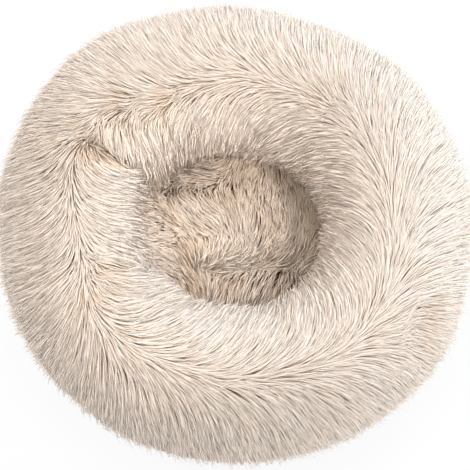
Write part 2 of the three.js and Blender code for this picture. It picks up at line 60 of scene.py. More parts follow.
# The stuffed rim, as in the part's source
BED_DIAMETER = 500
BED_HEIGHT = 170
NEST_MOUTH = 196
RIM_PILE = 20
CREST_PILE = 13
BACKING = 1.2
LINING = 0.8
SEAT = 0.3
DOT_HEIGHT = 0.8
DOT_DIAMETER = 7
DOT_PITCH = 34
DOT_RINGS = 4
DOTS_PER_RING = 6
BASE_CLOTH = 1
UPPER_SQUARENESS = 2.1
LOWER_SQUARENESS = 2.8
RIM_CENTRE = (BED_DIAMETER + NEST_MOUTH) / 4
SKIN_HALF_WIDTH = (BED_DIAMETER - NEST_MOUTH) / 4 - RIM_PILE
BASE_TOP = DOT_HEIGHT + BASE_CLOTH
SKIN_BOTTOM = BASE_TOP - BACKING
SKIN_HALF_HEIGHT = (BED_HEIGHT - CREST_PILE - SKIN_BOTTOM) / 2
SKIN_CENTRE = SKIN_BOTTOM + SKIN_HALF_HEIGHT
BAND_LOWER_ANGLE = -52
BAND_UPPER_ANGLE = -27
SKIRT_ANGLE = -48
NEST_SEAM_ANGLE = 232
BASE_MARGIN_ANGLE = 308

# The zip, as in the part's source
TOOTH_PITCH = 4.4
TOOTH_PAIRS = 54
TOOTH_THICKNESS = 2.4
TOOTH_REACH = 1.4
TOOTH_TIP_WIDTH = 2.4
TOOTH_ROOT_WIDTH = 1.4
TOOTH_CLEARANCE = 0.3
BEAD_WIDTH = 1.6
TAPE_THICKNESS = 0.8
BAND_GAP = 0.6
ZIP_MIDDLE_ANGLE = 90
ZIP_END = 18
WINDOW_MARGIN_ANGLE = 9
SLIDER_ROOM = 3.75
BAG_ROOM = 3.25

# Hand-made unevenness, as in the part's source
OVAL_RISE, OVAL_ANGLE, OVAL_WAVES = 5, 150, 2
CORNER_RISE, CORNER_ANGLE, CORNER_WAVES = 2.7, 41, 4
CROWN_DIP, CROWN_WAVES = 4, 3
LUMP_RISE, LUMP_ANGLE, LUMP_WAVES, LUMP_SIZE = 1.6, 25, 9, 28
MOUTH_SWELL, MOUTH_SHIFT, MOUTH_SHIFT_ANGLE = 4.5, 6.5, 20
MOUTH_OUTWARD = NEST_MOUTH / 2 / RIM_CENTRE
MOUTH_SHARE = MOUTH_OUTWARD * (1 - MOUTH_OUTWARD)
EVEN_HEIGHT = 36
UNEVEN_HEIGHT = 90
CLOSING_SEAM_ANGLE = 156

# How the rim's pile lies, by turn round the bed: the parting's distance along the skin from the crest towards
# the nest in mm, and how far the strands lean onward from straight out and from straight in, in degrees
COMB = (
    (0, 14, 36, 30),
    (17, 19, 34, 35),
    (35, 22, 31, 38),
    (50, 26, 22, 37),
    (62, 28, 16, 42),
    (78, 28, 8, 35),
    (90, 29, 4, 22),
    (105, 39, 0, 17),
    (120, 45, 2, 17),
    (131, 45, 6, 14),
    (147.5, 18, 10, 18),
    (155.5, 12, 10, 20),
    (156.5, 10, 10, -15),
    (165, 1, 8, -17),
    (181, 8, -8, -12),
    (190, 11, -16, 5),
    (197, 12, -20, 20),
    (205, 11, -19, 48),
    (213, 6, -14, 48),
    (222, -6, -4, 34),
    (235, -14, 11, 28),
    (250, -15, 14, 30),
    (268, -15, 12, 30),
    (284, -10, 15, 35),
    (300, -6, 17, 35),
    (313, -4, 18, 22),
    (327, -2, 19, 25),
    (343, 6, 28, 32),
    (360, 14, 36, 30),
)

# Where the rim's pile lies open: turn, distance along the skin from the crest, heading of the slit, its half
# length and its half width, in mm and degrees. A heading of 0 runs round the bed, one of 90 towards the nest.
SLITS = (
    (157, 30, 88, 18, 8),
    (204, 19, 60, 8, 9),
    (211, 8, 75, 8, 9),
    (150, 14, 40, 8, 8),
    (134, 26, 20, 9, 7),
    (117, 40, 50, 8, 7),
    (45, 20, 60, 9, 7),
    (322, -34, 20, 14, 9),
)

# The closing seam draws the rim in on the nest's side, past this angle of the section
SEAM_FROM_ANGLE, SEAM_FADE_ANGLE = 78, 25
SEAM_WIDTH, SEAM_DEPTH = 14, 9
SEAM_PILE_LOSS = 0.4
SEAM_SHORTENING, SEAM_SHORT_WIDTH = 0.6, 20

# Lumps of the stuffing: size, depth and seed
STUFFING_LUMPS = ((60, 2.6, 3.0), (28, 1.2, 9.0))
LOOSE_ANGLE = 30

# How the rim's skin is blown up as cloth, from a start inside its place, and how far it may move
SWELL_ROOM, SWELL_LIMIT = 2, 4
SWELL_FRAMES, SWELL_PRESSURE, SWELL_SLACK = 20, 4, 0.03
SEWN_SHARE = 0.8

# Past the mouth's edge the pile hangs, and at the left it lies on over the floor's edge
CREST_ANGLE, MOUTH_ANGLE = 90, 180
HANGING_SHARE, LEVEL_ANGLE = 0.8, 20
CURTAIN_DEPTH, CURTAIN_TURN, CURTAIN_WIDTH = 9, 208, 18
CURTAIN_FROM_ANGLE, CURTAIN_FADE_ANGLE = 165, 40

# What a slit does to the pile, and where the strands are painted tan as painted shade: in slits, at the
# closing seam and along a crease of the parting
SLIT_PUSH, SLIT_STEEPNESS, SLIT_CORE, SLIT_PILE_LOSS = 1.3, 2, 0.6, 0.45
CREASE_FAN, CREASE_TURN, CREASE_WIDTH = 14, 125, 35
SEAM_SHADE, SLIT_SHADE, CREASE_SHADE = 0.8, 0.9, 0.5
LEAST_SLOPE, LEAST_REACH = 0.3, 0.12

# Grid of the rim's skin. The pile is combed over all guide stations, and has roots on those of the fur strip.
SKIN_TURNS = 192
GUIDE_STATIONS = np.linspace(-50, 241, 64)
BASE_STATIONS = np.linspace(246, 305, 12)
SECTION_ANGLES = np.linspace(-60, 240, 1201)

# How full the padded pieces are
RIM_FILL, PAD_FILL = 0.85, 0.5


def linear(hex_code):
    """An sRGB hex colour as linear RGBA."""
    channels = [int(hex_code[i : i + 2], 16) / 255 for i in (1, 3, 5)]
    return (*(c / 12.92 if c <= 0.04045 else ((c + 0.055) / 1.055) ** 2.4 for c in channels), 1)


class CATBED_PG_fur(bpy.types.PropertyGroup):
    """Sizes of the long pile"""

    strand_length: FloatProperty(
        name="Strand length", description="Length of a strand of the rim's pile, in mm", default=42, min=5
    )
    strand_width: FloatProperty(
        name="Strand width", description="Width of a strand at its widest, in mm", default=1.35, min=0.2
    )
    strand_gap: FloatProperty(
        name="Strand spacing", description="Least distance between the roots, in mm", default=1.33, min=0.5
    )
    tuft_gap: FloatProperty(
        name="Tuft spacing", description="Least distance between the tufts, in mm", default=7, min=2
    )
    gather: FloatProperty(
        name="Gather",
        description="How far the tips draw together in tufts",
        default=0.3,
        min=0,
        max=1,
        subtype="FACTOR",
    )
    ruffle: FloatProperty(
        name="Ruffle", description="How far strands stray from the way they are combed", default=0.55, min=0
    )
    stray: FloatProperty(
        name="Stray", description="How far single strands stray from their neighbours", default=0.13, min=0
    )
    outer_fan: FloatProperty(
        name="Outer fan", description="Width over which the pile fans outwards, in mm", default=36, min=5
    )
    inner_fan: FloatProperty(
        name="Inner fan", description="The same on the nest's side, in mm", default=25, min=5
    )
    floor_strand_length: FloatProperty(
        name="Floor strand length", description="Length of a strand of the floor, in mm", default=40, min=5
    )


COLOUR = {"size": 4, "subtype": "COLOR", "min": 0, "max": 1}


class CATBED_PG_colours(bpy.types.PropertyGroup):
    """Colours of the fur: cream, and tan where shade is painted into the pile, as well as evenly on the floor
    and in its random patches
    """

    # The root is darker than the tip, partly as painted shade deep in the pile
    cream_root: FloatVectorProperty(
        name="Cream root", description="Root of a strand of closed pile", default=linear("#f0dac3"), **COLOUR
    )
    cream_middle: FloatVectorProperty(
        name="Cream middle", description="Lower third of such a strand", default=linear("#f9eadb"), **COLOUR
    )
    cream_tip: FloatVectorProperty(
        name="Cream tip", description="Tip of such a strand", default=linear("#fcf0e6"), **COLOUR
    )
    # Tan strands are painted shade in slits, at the closing seam, along the parting's crease, in the floor's
    # hollows and under the right lip; the floor is also tan evenly and in random patches
    tan_root: FloatVectorProperty(
        name="Tan root", description="Root of a strand of open pile", default=linear("#c79c74"), **COLOUR
    )
    tan_middle: FloatVectorProperty(
        name="Tan middle", description="Lower third of such a strand", default=linear("#e0c3a4"), **COLOUR
    )
    tan_tip: FloatVectorProperty(
        name="Tan tip", description="Tip of such a strand", default=linear("#f6e4d0"), **COLOUR
    )


class CATBED_PG_stage(bpy.types.PropertyGroup):
    """Place and lens of the camera"""

    elevation: FloatProperty(
        name="Elevation", description="Height of the camera above the horizon, in degrees", default=70
    )
    azimuth: FloatProperty(
        name="Azimuth", description="Turn of the camera about the bed, in degrees", default=0
    )
    distance: FloatProperty(
        name="Distance", description="From the camera to the bed's middle, in m", default=1.8, min=0.5
    )
    lens: FloatProperty(name="Lens", description="Focal length, in mm", default=130.5)


def fill(tree, node, inputs):
    """Fills inputs, by name or in order, with values or links. A node stands for its first output."""
    if not isinstance(inputs, dict):
        inputs = dict(zip([i for i, socket in enumerate(node.inputs) if socket.enabled], inputs))
    for key, value in inputs.items():
        if isinstance(value, bpy.types.Node):
            value = next(socket for socket in value.outputs if socket.enabled)
        if isinstance(value, bpy.types.NodeSocket):
            tree.links.new(value, node.inputs[key])
        elif value is not None:
            node.inputs[key].default_value = value


def add_node(tree, kind, inputs=(), **settings):
    """Adds a node with its settings, and fills its inputs. An input that is None stays as it is."""
    node = tree.nodes.new(kind)
    for name, value in settings.items():
        setattr(node, name, value)
    fill(tree, node, inputs)
    return node


def new_material(name, roughness, **sockets):
    """A material with one Principled shader, whose plain numbers are set on its own sockets."""
    material = bpy.data.materials.new(name)
    material.use_nodes = True
    tree = material.node_tree
    tree.nodes.clear()
    values = {key.replace("_", " "): value for key, value in sockets.items()}
    shader = add_node(tree, "ShaderNodeBsdfPrincipled", {"Roughness": roughness, **values})
    add_node(tree, "ShaderNodeOutputMaterial", {"Surface": shader})
    return material, tree, shader


def skin_section(angle, out=0.0):
    """Radius and height of the rim's skin, moved out along its normal, and its tangent towards the nest."""
    c, s = np.cos(np.radians(angle)), np.sin(np.radians(angle))
    squareness = np.where(s < 0, LOWER_SQUARENESS, UPPER_SQUARENESS)
    radius = RIM_CENTRE + SKIN_HALF_WIDTH * np.sign(c) * np.abs(c) ** (2 / squareness)
    height = SKIN_CENTRE + SKIN_HALF_HEIGHT * np.sign(s) * np.abs(s) ** (2 / squareness)
    nr = np.sign(c) * np.abs(c) ** (2 - 2 / squareness) / SKIN_HALF_WIDTH
    nz = np.sign(s) * np.abs(s) ** (2 - 2 / squareness) / SKIN_HALF_HEIGHT
    size = np.hypot(nr, nz)
    nr, nz = nr / size, nz / size
    return radius + nr * out, height + nz * out, -nz, nr


def wave(count, turn, crest=0.0):
    """One of the waves of the unevenness."""
    return np.cos(np.radians(count * (turn - crest)))


def eased(share):
    """A share between 0 and 1 that starts and ends softly."""
    return share * share * (3 - 2 * share)


def handmade(radius, turn, height):
    """The rim's unevenness: a little oval and lumpy, with a crown that dips and a mouth off its middle."""
    share = eased(np.clip((height - EVEN_HEIGHT) / (UNEVEN_HEIGHT - EVEN_HEIGHT), 0, 1))
    outward = np.minimum(1, radius / RIM_CENTRE)
    inward = outward * (1 - outward)
    lump = LUMP_RISE * wave(LUMP_WAVES, turn, LUMP_ANGLE) * np.cos(height / LUMP_SIZE)
    rise = OVAL_RISE * wave(OVAL_WAVES, turn, OVAL_ANGLE)
    rise = rise + CORNER_RISE * wave(CORNER_WAVES, turn, CORNER_ANGLE)
    mouth = (MOUTH_SWELL + MOUTH_SHIFT * wave(1, turn, MOUTH_SHIFT_ANGLE)) / MOUTH_SHARE
    dip = CROWN_DIP / 2 * (1 - wave(CROWN_WAVES, turn))
    return radius + share * ((rise + lump) * outward - mouth * inward), height - share * dip * outward


def on_bed(turn, angle, out=0.0):
    """Points of the rim in metres, by turn round the bed and angle round the rim's section."""
    radius, height, _, _ = skin_section(angle, out)
    radius, height = handmade(radius, turn, height)
    a = np.radians(turn)
    return np.stack([radius * np.cos(a), radius * np.sin(a), height + 0 * a], -1) * MM


BAND_FOOT = np.array(skin_section(BAND_LOWER_ANGLE, -BACKING / 2)[:2])
BAND_HEAD = np.array(skin_section(BAND_UPPER_ANGLE, -BACKING / 2)[:2])
BAND_MIDDLE = (BAND_FOOT + BAND_HEAD) / 2
BAND_HALF_WIDTH = np.linalg.norm(BAND_HEAD - BAND_FOOT) / 2
BAND_UP = (BAND_HEAD - BAND_FOOT) / (2 * BAND_HALF_WIDTH)
BAND_OUT = np.array([BAND_UP[1], -BAND_UP[0]])
TAPE_EDGE = BAND_HALF_WIDTH - BAND_GAP
ZIP_TURN = math.degrees(TOOTH_PAIRS * TOOTH_PITCH / BAND_MIDDLE[0])
ZIP_END_TURN = math.degrees(ZIP_END / BAND_MIDDLE[0])
ZIP_START = ZIP_MIDDLE_ANGLE - ZIP_TURN / 2


def band_point(across, out):
    """Radius and height of a place on the band between the fur and the base: across it and out of it."""
    return BAND_MIDDLE + BAND_UP * across + BAND_OUT * out


def skirt_share(turn):
    """How much of the pile skirt over the band there is. It leaves the zip's stretch open."""
    away = np.abs(turn - ZIP_MIDDLE_ANGLE) - ZIP_TURN / 2 - ZIP_END_TURN - WINDOW_MARGIN_ANGLE
    return eased(np.clip(away / WINDOW_MARGIN_ANGLE, 0, 1))


def mesh_object(name, points, faces, material=None, smooth=True):
    """A mesh object at the origin, in the scene."""
    mesh = bpy.data.meshes.new(name)
    mesh.from_pydata([tuple(p) for p in points], [], [tuple(f) for f in faces])
    if smooth:
        mesh.shade_smooth()
    piece = bpy.data.objects.new(name, mesh)
    bpy.context.scene.collection.objects.link(piece)
    if material:
        mesh.materials.append(material)
    return piece


def set_attribute(piece, name, kind, values):
    """Stores one value for each vertex."""
    attribute = piece.data.attributes.new(name, kind, "POINT")
    key = "vector" if kind == "FLOAT_VECTOR" else "value"
    attribute.data.foreach_set(key, np.asarray(values, dtype=np.float32).ravel())


def ring_faces(turns, stations, closed=False):
    """Quads of a grid that closes round the bed, and along its section too if it is closed."""
    faces = []
    for i in range(turns):
        a, b = i * stations, (i + 1) % turns * stations
        for j in range(stations if closed else stations - 1):
            k = (j + 1) % stations
            faces.append((a + j, b + j, b + k, a + k))
    return faces


def swept(name, section, material, span=(0, 360), steps=180):
    """A closed section of radii and heights in mm, swept round the bed, with a map in metres."""
    section = np.asarray(section, dtype=float)
    after = np.roll(section, -1, axis=0)
    if np.sum(section[:, 0] * after[:, 1] - after[:, 0] * section[:, 1]) < 0:
        section, after = section[::-1], np.roll(section[::-1], -1, axis=0)
    ring = span[1] - span[0] >= 360
    slices = steps if ring else steps + 1
    count = len(section)
    turns = np.repeat(np.linspace(*span, slices, endpoint=not ring), count)
    radius, height = handmade(np.tile(section[:, 0], slices), turns, np.tile(section[:, 1], slices))
    a = np.radians(turns)
    points = np.stack([radius * np.cos(a), radius * np.sin(a), height], -1) * MM
    across = np.concatenate([[0], np.cumsum(np.linalg.norm(after - section, axis=1))]) * MM
    along = np.radians(np.linspace(*span, steps + 1)) * section[:, 0].max() * MM
    faces, spots = [], []
    for i in range(steps):
        here, there = i * count, (i + 1) % slices * count
        for j in range(count):
            k = (j + 1) % count
            faces.append((here + j, there + j, there + k, here + k))
            u, v = along[i : i + 2], across[j : j + 2]
            spots += [(u[0], v[0]), (u[1], v[0]), (u[1], v[1]), (u[0], v[1])]
    if not ring:
        faces += [tuple(range(count - 1, -1, -1)), tuple(range(steps * count, slices * count))]
        spots += [(u, v) for u in (along[-1], along[0]) for v in across[:-1]]
    piece = mesh_object(name, points, faces, material)
    piece.data.uv_layers.new(name="Cloth").data.foreach_set("uv", np.asarray(spots, dtype=np.float32).ravel())
    shape = bmesh.new()
    shape.from_mesh(piece.data)
    bmesh.ops.remove_doubles(shape, verts=shape.verts, dist=0.01 * MM)
    shape.to_mesh(piece.data)
    shape.free()
    return piece


def seated(pieces, slot, *nodes, body="root", fill=None):
    """Puts finished pieces on a body, and hides the CAD nodes. The slot is not used."""
    for piece in pieces:
        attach(piece, body)
    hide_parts(*nodes)


def along_skin(angle):
    """Distance along the rim's skin from the crest towards the nest, in mm."""
    radius, height, _, _ = skin_section(SECTION_ANGLES)
    run = np.concatenate([[0], np.cumsum(np.hypot(np.diff(radius), np.diff(height)))])
    return np.interp(angle, SECTION_ANGLES, run) - np.interp(CREST_ANGLE, SECTION_ANGLES, run)


def near(values, place, width):
    """A soft hump of height 1."""
    return np.exp(-(((values - place) / width) ** 2))


def turned_from(turn, place):
    """How far a turn round the bed is from a place, between -180 and 180 degrees."""
    return (turn - place + 180) % 360 - 180


def seam_pull(turn):
    """How hard the closing seam draws the rim in, and the distance to it, with its sign, in mm."""
    past = np.radians(turned_from(turn, CLOSING_SEAM_ANGLE)) * RIM_CENTRE
    return np.clip(1 - np.abs(past) / SEAM_WIDTH, 0, 1) ** 2, past


def rim_comb(turn, angle):
    """Which way the rim's pile is combed: unit vectors along the skin, and their angles from straight out."""
    settings = bpy.context.scene.catbed_fur
    _, _, tr, tz = skin_section(angle)
    a = np.radians(turn)
    inward = np.stack([tr * np.cos(a), tr * np.sin(a), tz], -1)
    onward = np.stack([-np.sin(a), np.cos(a), 0 * a], -1)
    table = np.array(COMB, dtype=float).T
    parting, outer, inner = (np.interp(turn, table[0], row) for row in table[1:])
    away = along_skin(angle) - parting
    # Across the parting the strands fan from straight out, through onward, to straight in
    share = np.tanh(away / np.where(away > 0, settings.inner_fan, settings.outer_fan))
    fan = np.radians(90 + share * np.where(away > 0, 90 - inner, 90 - outer))
    # Round a slit the strands are pushed apart
    opening, along, across = slits(turn, angle)
    sideways = np.sin(fan) + SLIT_PUSH * along
    across = -np.cos(fan) + SLIT_PUSH * across
    way = inward * across[..., None] + onward * sideways[..., None]
    return way / np.linalg.norm(way, axis=-1, keepdims=True), np.degrees(fan), opening


def slits(turn, angle):
    """How far the pile lies open, and how hard it is pushed round the bed and towards the nest."""
    opening = along = across = 0
    for centre, from_crest, heading, half_length, half_width in SLITS:
        u = np.radians(turned_from(turn, centre)) * RIM_CENTRE
        v = along_skin(angle) - from_crest
        c, s = math.cos(math.radians(heading)), math.sin(math.radians(heading))
        off = v * c - u * s
        gap = np.hypot(np.maximum(np.abs(u * c + v * s) - half_length, 0), off)
        push = near(gap, 0, half_width) * np.tanh(SLIT_STEEPNESS * off / half_width)
        opening = np.maximum(opening, near(gap, 0, SLIT_CORE * half_width))
        along, across = along - push * s, across + push * c
    return opening, along, across


def lumps(points, size, depth, seed):
    """Soft lumps of the stuffing at each point: size between lumps and depth in mm."""
    shift = Vector((seed, seed, seed))
    return np.array([noise.noise(Vector(p) / (size * MM) + shift) for p in points]) * depth


def stuffing(points):
    """How far the stuffing bulges at each point, in mm."""
    return sum(lumps(points, *sizes) for sizes in STUFFING_LUMPS)


def inflated(piece, pinned):
    """Blows a skin up as cloth between its pinned seams, and gives how far each point moved, in mm."""
    piece.vertex_groups.new(name="pinned").add(np.flatnonzero(pinned).tolist(), 1.0, "REPLACE")
    start = np.array([v.co for v in piece.data.vertices])
    cloth = piece.modifiers.new("cloth", "CLOTH")
    cloth.point_cache.frame_end = SWELL_FRAMES
    cloth.settings.vertex_group_mass = "pinned"
    cloth.settings.use_pressure = True
    cloth.settings.uniform_pressure_force = SWELL_PRESSURE
    cloth.settings.shrink_min = -SWELL_SLACK
    cloth.settings.effector_weights.gravity = 0
    scene = bpy.context.scene
    for number in range(1, SWELL_FRAMES + 1):
        scene.frame_set(number)
    depsgraph = bpy.context.evaluated_depsgraph_get()
    moved = np.array([v.co for v in piece.evaluated_get(depsgraph).data.vertices]) - start
    piece.modifiers.remove(cloth)
    scene.frame_set(1)
    size = np.linalg.norm(moved, axis=1, keepdims=True) / MM
    return moved / MM * np.minimum(1, SWELL_LIMIT / np.maximum(size, 1e-6))


def rim_skins():
    """The rim's knitted backing, and a longer skin over which its pile is combed."""
    settings = bpy.context.scene.catbed_fur
    stations = np.concatenate([GUIDE_STATIONS, BASE_STATIONS])
    turns = np.repeat(np.arange(SKIN_TURNS) * 360 / SKIN_TURNS, len(stations))
    angles = np.tile(stations, SKIN_TURNS)
    pull, past_seam = seam_pull(turns)
    inner = np.clip((angles - SEAM_FROM_ANGLE) / SEAM_FADE_ANGLE, 0, 1)
    seam = pull * inner
    flat = on_bed(turns, angles)
    loose = np.clip(angles - BAND_UPPER_ANGLE, 0, LOOSE_ANGLE) / LOOSE_ANGLE * (angles < NEST_SEAM_ANGLE)
    uneven = stuffing(flat) * loose - SEAM_DEPTH * seam
    points = on_bed(turns, angles, uneven - SWELL_ROOM)
    bag = mesh_object("rim_bag", points, ring_faces(SKIN_TURNS, len(stations), closed=True))
    sewn = (angles > NEST_SEAM_ANGLE) | (angles < BAND_UPPER_ANGLE) | (seam > SEWN_SHARE)
    points = points + inflated(bag, sewn) * MM
    bpy.data.objects.remove(bag)
    # The guide skin, with what the pile does on it
    guide = np.tile(np.arange(len(stations)) < len(GUIDE_STATIONS), SKIN_TURNS)
    turns, angles, past_seam, inner, seam = (v[guide] for v in (turns, angles, past_seam, inner, seam))
    deep = CREST_PILE + (RIM_PILE - CREST_PILE) * np.cos(np.radians(angles)) ** 2
    # Below the mouth's edge the skin turns away under the pile, which hangs on straight down
    away = skin_section(angles)[0] - skin_section(MOUTH_ANGLE)[0]
    deep = deep + np.where(angles > MOUTH_ANGLE, HANGING_SHARE * away, 0)
    curtain = np.clip((angles - CURTAIN_FROM_ANGLE) / CURTAIN_FADE_ANGLE, 0, 1)
    deep = deep + CURTAIN_DEPTH * near(turns, CURTAIN_TURN, CURTAIN_WIDTH) * curtain
    comb, fan, opening = rim_comb(turns, angles)
    deep = deep * (1 - SLIT_PILE_LOSS * opening)
    # Strands end at the hem and at the nest seam, and few cross the closing seam
    hem = BAND_UPPER_ANGLE + (SKIRT_ANGLE - BAND_UPPER_ANGLE) * skirt_share(turns)
    here = along_skin(angles)
    room = np.where(fan < 90, here - along_skin(hem), along_skin(NEST_SEAM_ANGLE) - here)
    way = np.maximum(np.abs(np.cos(np.radians(fan))), LEAST_SLOPE)
    reach = np.clip(room / (settings.strand_length * way), LEAST_REACH, 1)
    reach = reach * (1 - SEAM_SHORTENING * near(past_seam, 0, SEAM_SHORT_WIDTH) * inner * (past_seam < 0))
    # Painted shade: the strands are painted tan where the pile lies open in slits, at the drawn-in closing
    # seam and along the parting's crease
    crease = near(fan, 90, CREASE_FAN) * near(turns, CREASE_TURN, CREASE_WIDTH)
    tan = np.clip(SEAM_SHADE * seam + SLIT_SHADE * opening + CREASE_SHADE * crease, 0, 1)
    over = mesh_object("comb_guide", points[guide], ring_faces(SKIN_TURNS, len(GUIDE_STATIONS)))
    out = vertex_normals(over)
    out[:, 2] *= 1 - np.clip((angles - MOUTH_ANGLE) / LEVEL_ANGLE, 0, 1)
    rooted = (angles > BAND_UPPER_ANGLE) & (angles < NEST_SEAM_ANGLE)
    deep = deep * (1 - SEAM_PILE_LOSS * seam) * MM
    set_attribute(over, "comb", "FLOAT_VECTOR", comb)
    set_attribute(over, "out", "FLOAT_VECTOR", out / np.linalg.norm(out, axis=1, keepdims=True))
    set_attribute(over, "pile", "FLOAT_VECTOR", np.stack([deep, reach, tan], -1))
    set_attribute(over, "rooted", "FLOAT", rooted)
    strip = int(rooted.sum()) // SKIN_TURNS
    backing = mesh_object("rim_backing", points[guide][rooted], ring_faces(SKIN_TURNS, strip))
    return backing, over


def vertex_normals(piece):
    """The vertex normals of a piece, one row for each."""
    normals = np.empty(len(piece.data.vertices) * 3, dtype=np.float32)
    piece.data.vertex_normals.foreach_get("vector", normals)
    return normals.reshape(-1, 3)


# The floor's skin, a pad's crown
FLOOR_RINGS, FLOOR_TURNS = 36, 96
FLOOR_RADIUS = 126
FLOOR_EDGE_HEIGHT = 14
FLOOR_CROWN = 24

# The floor's pile: how far a guide reaches, how deep the pile is at the middle and how much more at the edge,
# how tan it is everywhere, and how much painted shade darkens it to tan in a hollow. Patches are lumps by
# size, depth and seed.
FLOOR_GUIDE_REACH = 17
FLOOR_PILE, FLOOR_EDGE_PILE = 16, 9
FLOOR_TAN, HOLLOW_SHADE = 0.3, 0.8
FLOOR_PATCHES = (30, 1.0, 5.0)

# Under the right lip the floor's pile is lower, and painted darker tan: painted shadow of the lip's overhang
UNDER_LIP_WAY, UNDER_LIP_FROM = (0.74, 0.67), 0.25
UNDER_LIP_PILE, UNDER_LIP_SHADE, MOST_TAN = 22, 1.2, 1.3

# How the floor's pile lies: places seen from above, in mm, and directions
FLOOR_GUIDES = (
    (-98, 62, 0.6, -0.6),
    (-70, 78, -0.9, 0.35),
    (-42, 70, -0.95, 0.3),
    (-20, 68, -0.8, -0.4),
    (-8, 62, 0.3, -0.8),
    (20, 72, -0.2, -0.9),
    (50, 60, 0.1, -1.0),
    (78, 45, -0.25, -1.0),
    (84, 10, -0.5, -0.85),
    (50, 25, -0.15, -1.0),
    (20, 30, 0.0, -1.0),
    (-15, 35, 0.55, -0.85),
    (-45, 38, 0.65, -0.75),
    (-62, 52, 0.6, -0.8),
    (-72, 18, 0.9, -0.3),
    (-85, 5, 0.9, 0.1),
    (-40, 5, 0.7, -0.7),
    (-5, 0, 0.35, -0.95),
    (25, -5, -0.05, -1.0),
    (55, -5, -0.75, -0.7),
    (75, -20, -0.8, -0.6),
    (40, -24, -0.9, 0.1),
    (5, -26, -0.9, 0.25),
    (-25, -22, -0.6, -0.3),
    (-60, -30, 0.8, -0.6),
    (-40, -45, 0.5, -0.9),
    (-10, -55, -0.3, -1.0),
    (25, -55, -0.25, -1.0),
    (55, -50, -0.1, -1.0),
    (70, -70, -0.2, -1.0),
    (-20, -90, 0.0, -1.0),
)

# Folds, hollows and swells of the floor, as in the part's source
FOLD_BOW = 178
FOLD_FROM_MIDDLE = 20
FOLD_SIDEWAYS = -5
FOLD_HALF_LENGTH = 60
FOLD_WIDTH = 11
FOLD_RISE = 7
DITCH_DEPTH = 8
DITCH_FROM_FOLD = 15
DITCH_HOLLOW = 0.35
FLOOR_SWELL_SHARES = (
    (-0.7, 0.34, 0.2, -0.07),
    (-0.53, 0, 0.19, -0.06),
    (-0.42, -0.27, 0.19, -0.07),
    (-0.09, 0.47, 0.17, -0.05),
    (0.5, -0.36, 0.14, -0.09),
    (0.23, 0.11, 0.26, 0.05),
    (-0.3, 0.3, 0.2, 0.04),
    (0.23, -0.47, 0.23, 0.04),
)


def floor_relief(x, y):
    """How far the nest floor rises above an even crown or lies below it, in mm, and how hollow it is."""
    across = FOLD_BOW - np.hypot(x - FOLD_SIDEWAYS, y + FOLD_FROM_MIDDLE - FOLD_BOW)
    ditch = near(across, -DITCH_FROM_FOLD, FOLD_WIDTH)
    along = near(x, FOLD_SIDEWAYS, FOLD_HALF_LENGTH)
    relief = (FOLD_RISE * near(across, 0, FOLD_WIDTH) - DITCH_DEPTH * ditch) * along
    hollow = DITCH_HOLLOW * ditch * along
    for right, ahead, reach, rise in FLOOR_SWELL_SHARES:
        away = np.hypot(x - right * FLOOR_RADIUS, y - ahead * FLOOR_RADIUS)
        swell = near(away, 0, reach * FLOOR_RADIUS)
        relief = relief + rise * FLOOR_RADIUS * swell
        hollow = hollow + (rise < 0) * swell
    return relief, np.clip(hollow, 0, 1)


def floor_height(x, y):
    """Height of the nest floor's skin in mm: a pad's crown with soft folds."""
    crown = FLOOR_EDGE_HEIGHT + FLOOR_CROWN * (1 - (np.hypot(x, y) / FLOOR_RADIUS) ** 2)
    return crown + floor_relief(x, y)[0]


def floor_skin():
    """The nest floor's knitted backing, with the way its pile is combed."""
    points, faces = [], []
    for i in range(FLOOR_RINGS + 1):
        r = FLOOR_RADIUS * i / FLOOR_RINGS
        for j in range(FLOOR_TURNS):
            a = 2 * math.pi * j / FLOOR_TURNS
            points.append((r * math.cos(a), r * math.sin(a)))
            if i == 0:
                break
    xy = np.array(points)
    z = floor_height(xy[:, 0], xy[:, 1])
    for i in range(FLOOR_RINGS):
        here, after = 1 + (i - 1) * FLOOR_TURNS, 1 + i * FLOOR_TURNS
        for j in range(FLOOR_TURNS):
            k = (j + 1) % FLOOR_TURNS
            if i == 0:
                faces.append((0, after + j, after + k))
            else:
                faces.append((here + j, after + j, after + k, here + k))
    points = np.column_stack([xy, z]) * MM
    piece = mesh_object("floor_backing", points, faces)
    guides = np.array(FLOOR_GUIDES, dtype=float)
    apart = np.hypot(xy[:, :1] - guides[:, 0], xy[:, 1:] - guides[:, 1])
    weight = np.exp(-((apart / FLOOR_GUIDE_REACH) ** 2)) + 1e-6
    comb = weight @ guides[:, 2:]
    comb = np.column_stack([comb / np.linalg.norm(comb, axis=1, keepdims=True), 0 * z])
    normals = vertex_normals(piece)
    comb -= normals * (comb * normals).sum(1, keepdims=True)
    # Painted shade: the floor is darker tan in its hollows. It is also tan evenly and in random patches.
    tan = FLOOR_TAN + HOLLOW_SHADE * floor_relief(*xy.T)[1] + np.clip(lumps(points, *FLOOR_PATCHES), 0, 1)
    # Painted shadow: under the right lip the floor is painted darker tan, and its pile is lower
    under_lip = np.clip(xy @ UNDER_LIP_WAY / FLOOR_RADIUS - UNDER_LIP_FROM, 0, 1)
    tan = np.clip(tan + UNDER_LIP_SHADE * under_lip, 0, MOST_TAN)
    edge = FLOOR_EDGE_PILE * (np.hypot(*xy.T) / FLOOR_RADIUS) ** 2 * (1 - under_lip)
    deep = FLOOR_PILE + edge - UNDER_LIP_PILE * under_lip
    set_attribute(piece, "comb", "FLOAT_VECTOR", comb)
    set_attribute(piece, "rooted", "FLOAT", 1 + 0 * z)
    set_attribute(piece, "pile", "FLOAT_VECTOR", np.stack([deep * MM, 1 + 0 * z, tan], -1))
    set_attribute(piece, "out", "FLOAT_VECTOR", normals)
    return piece


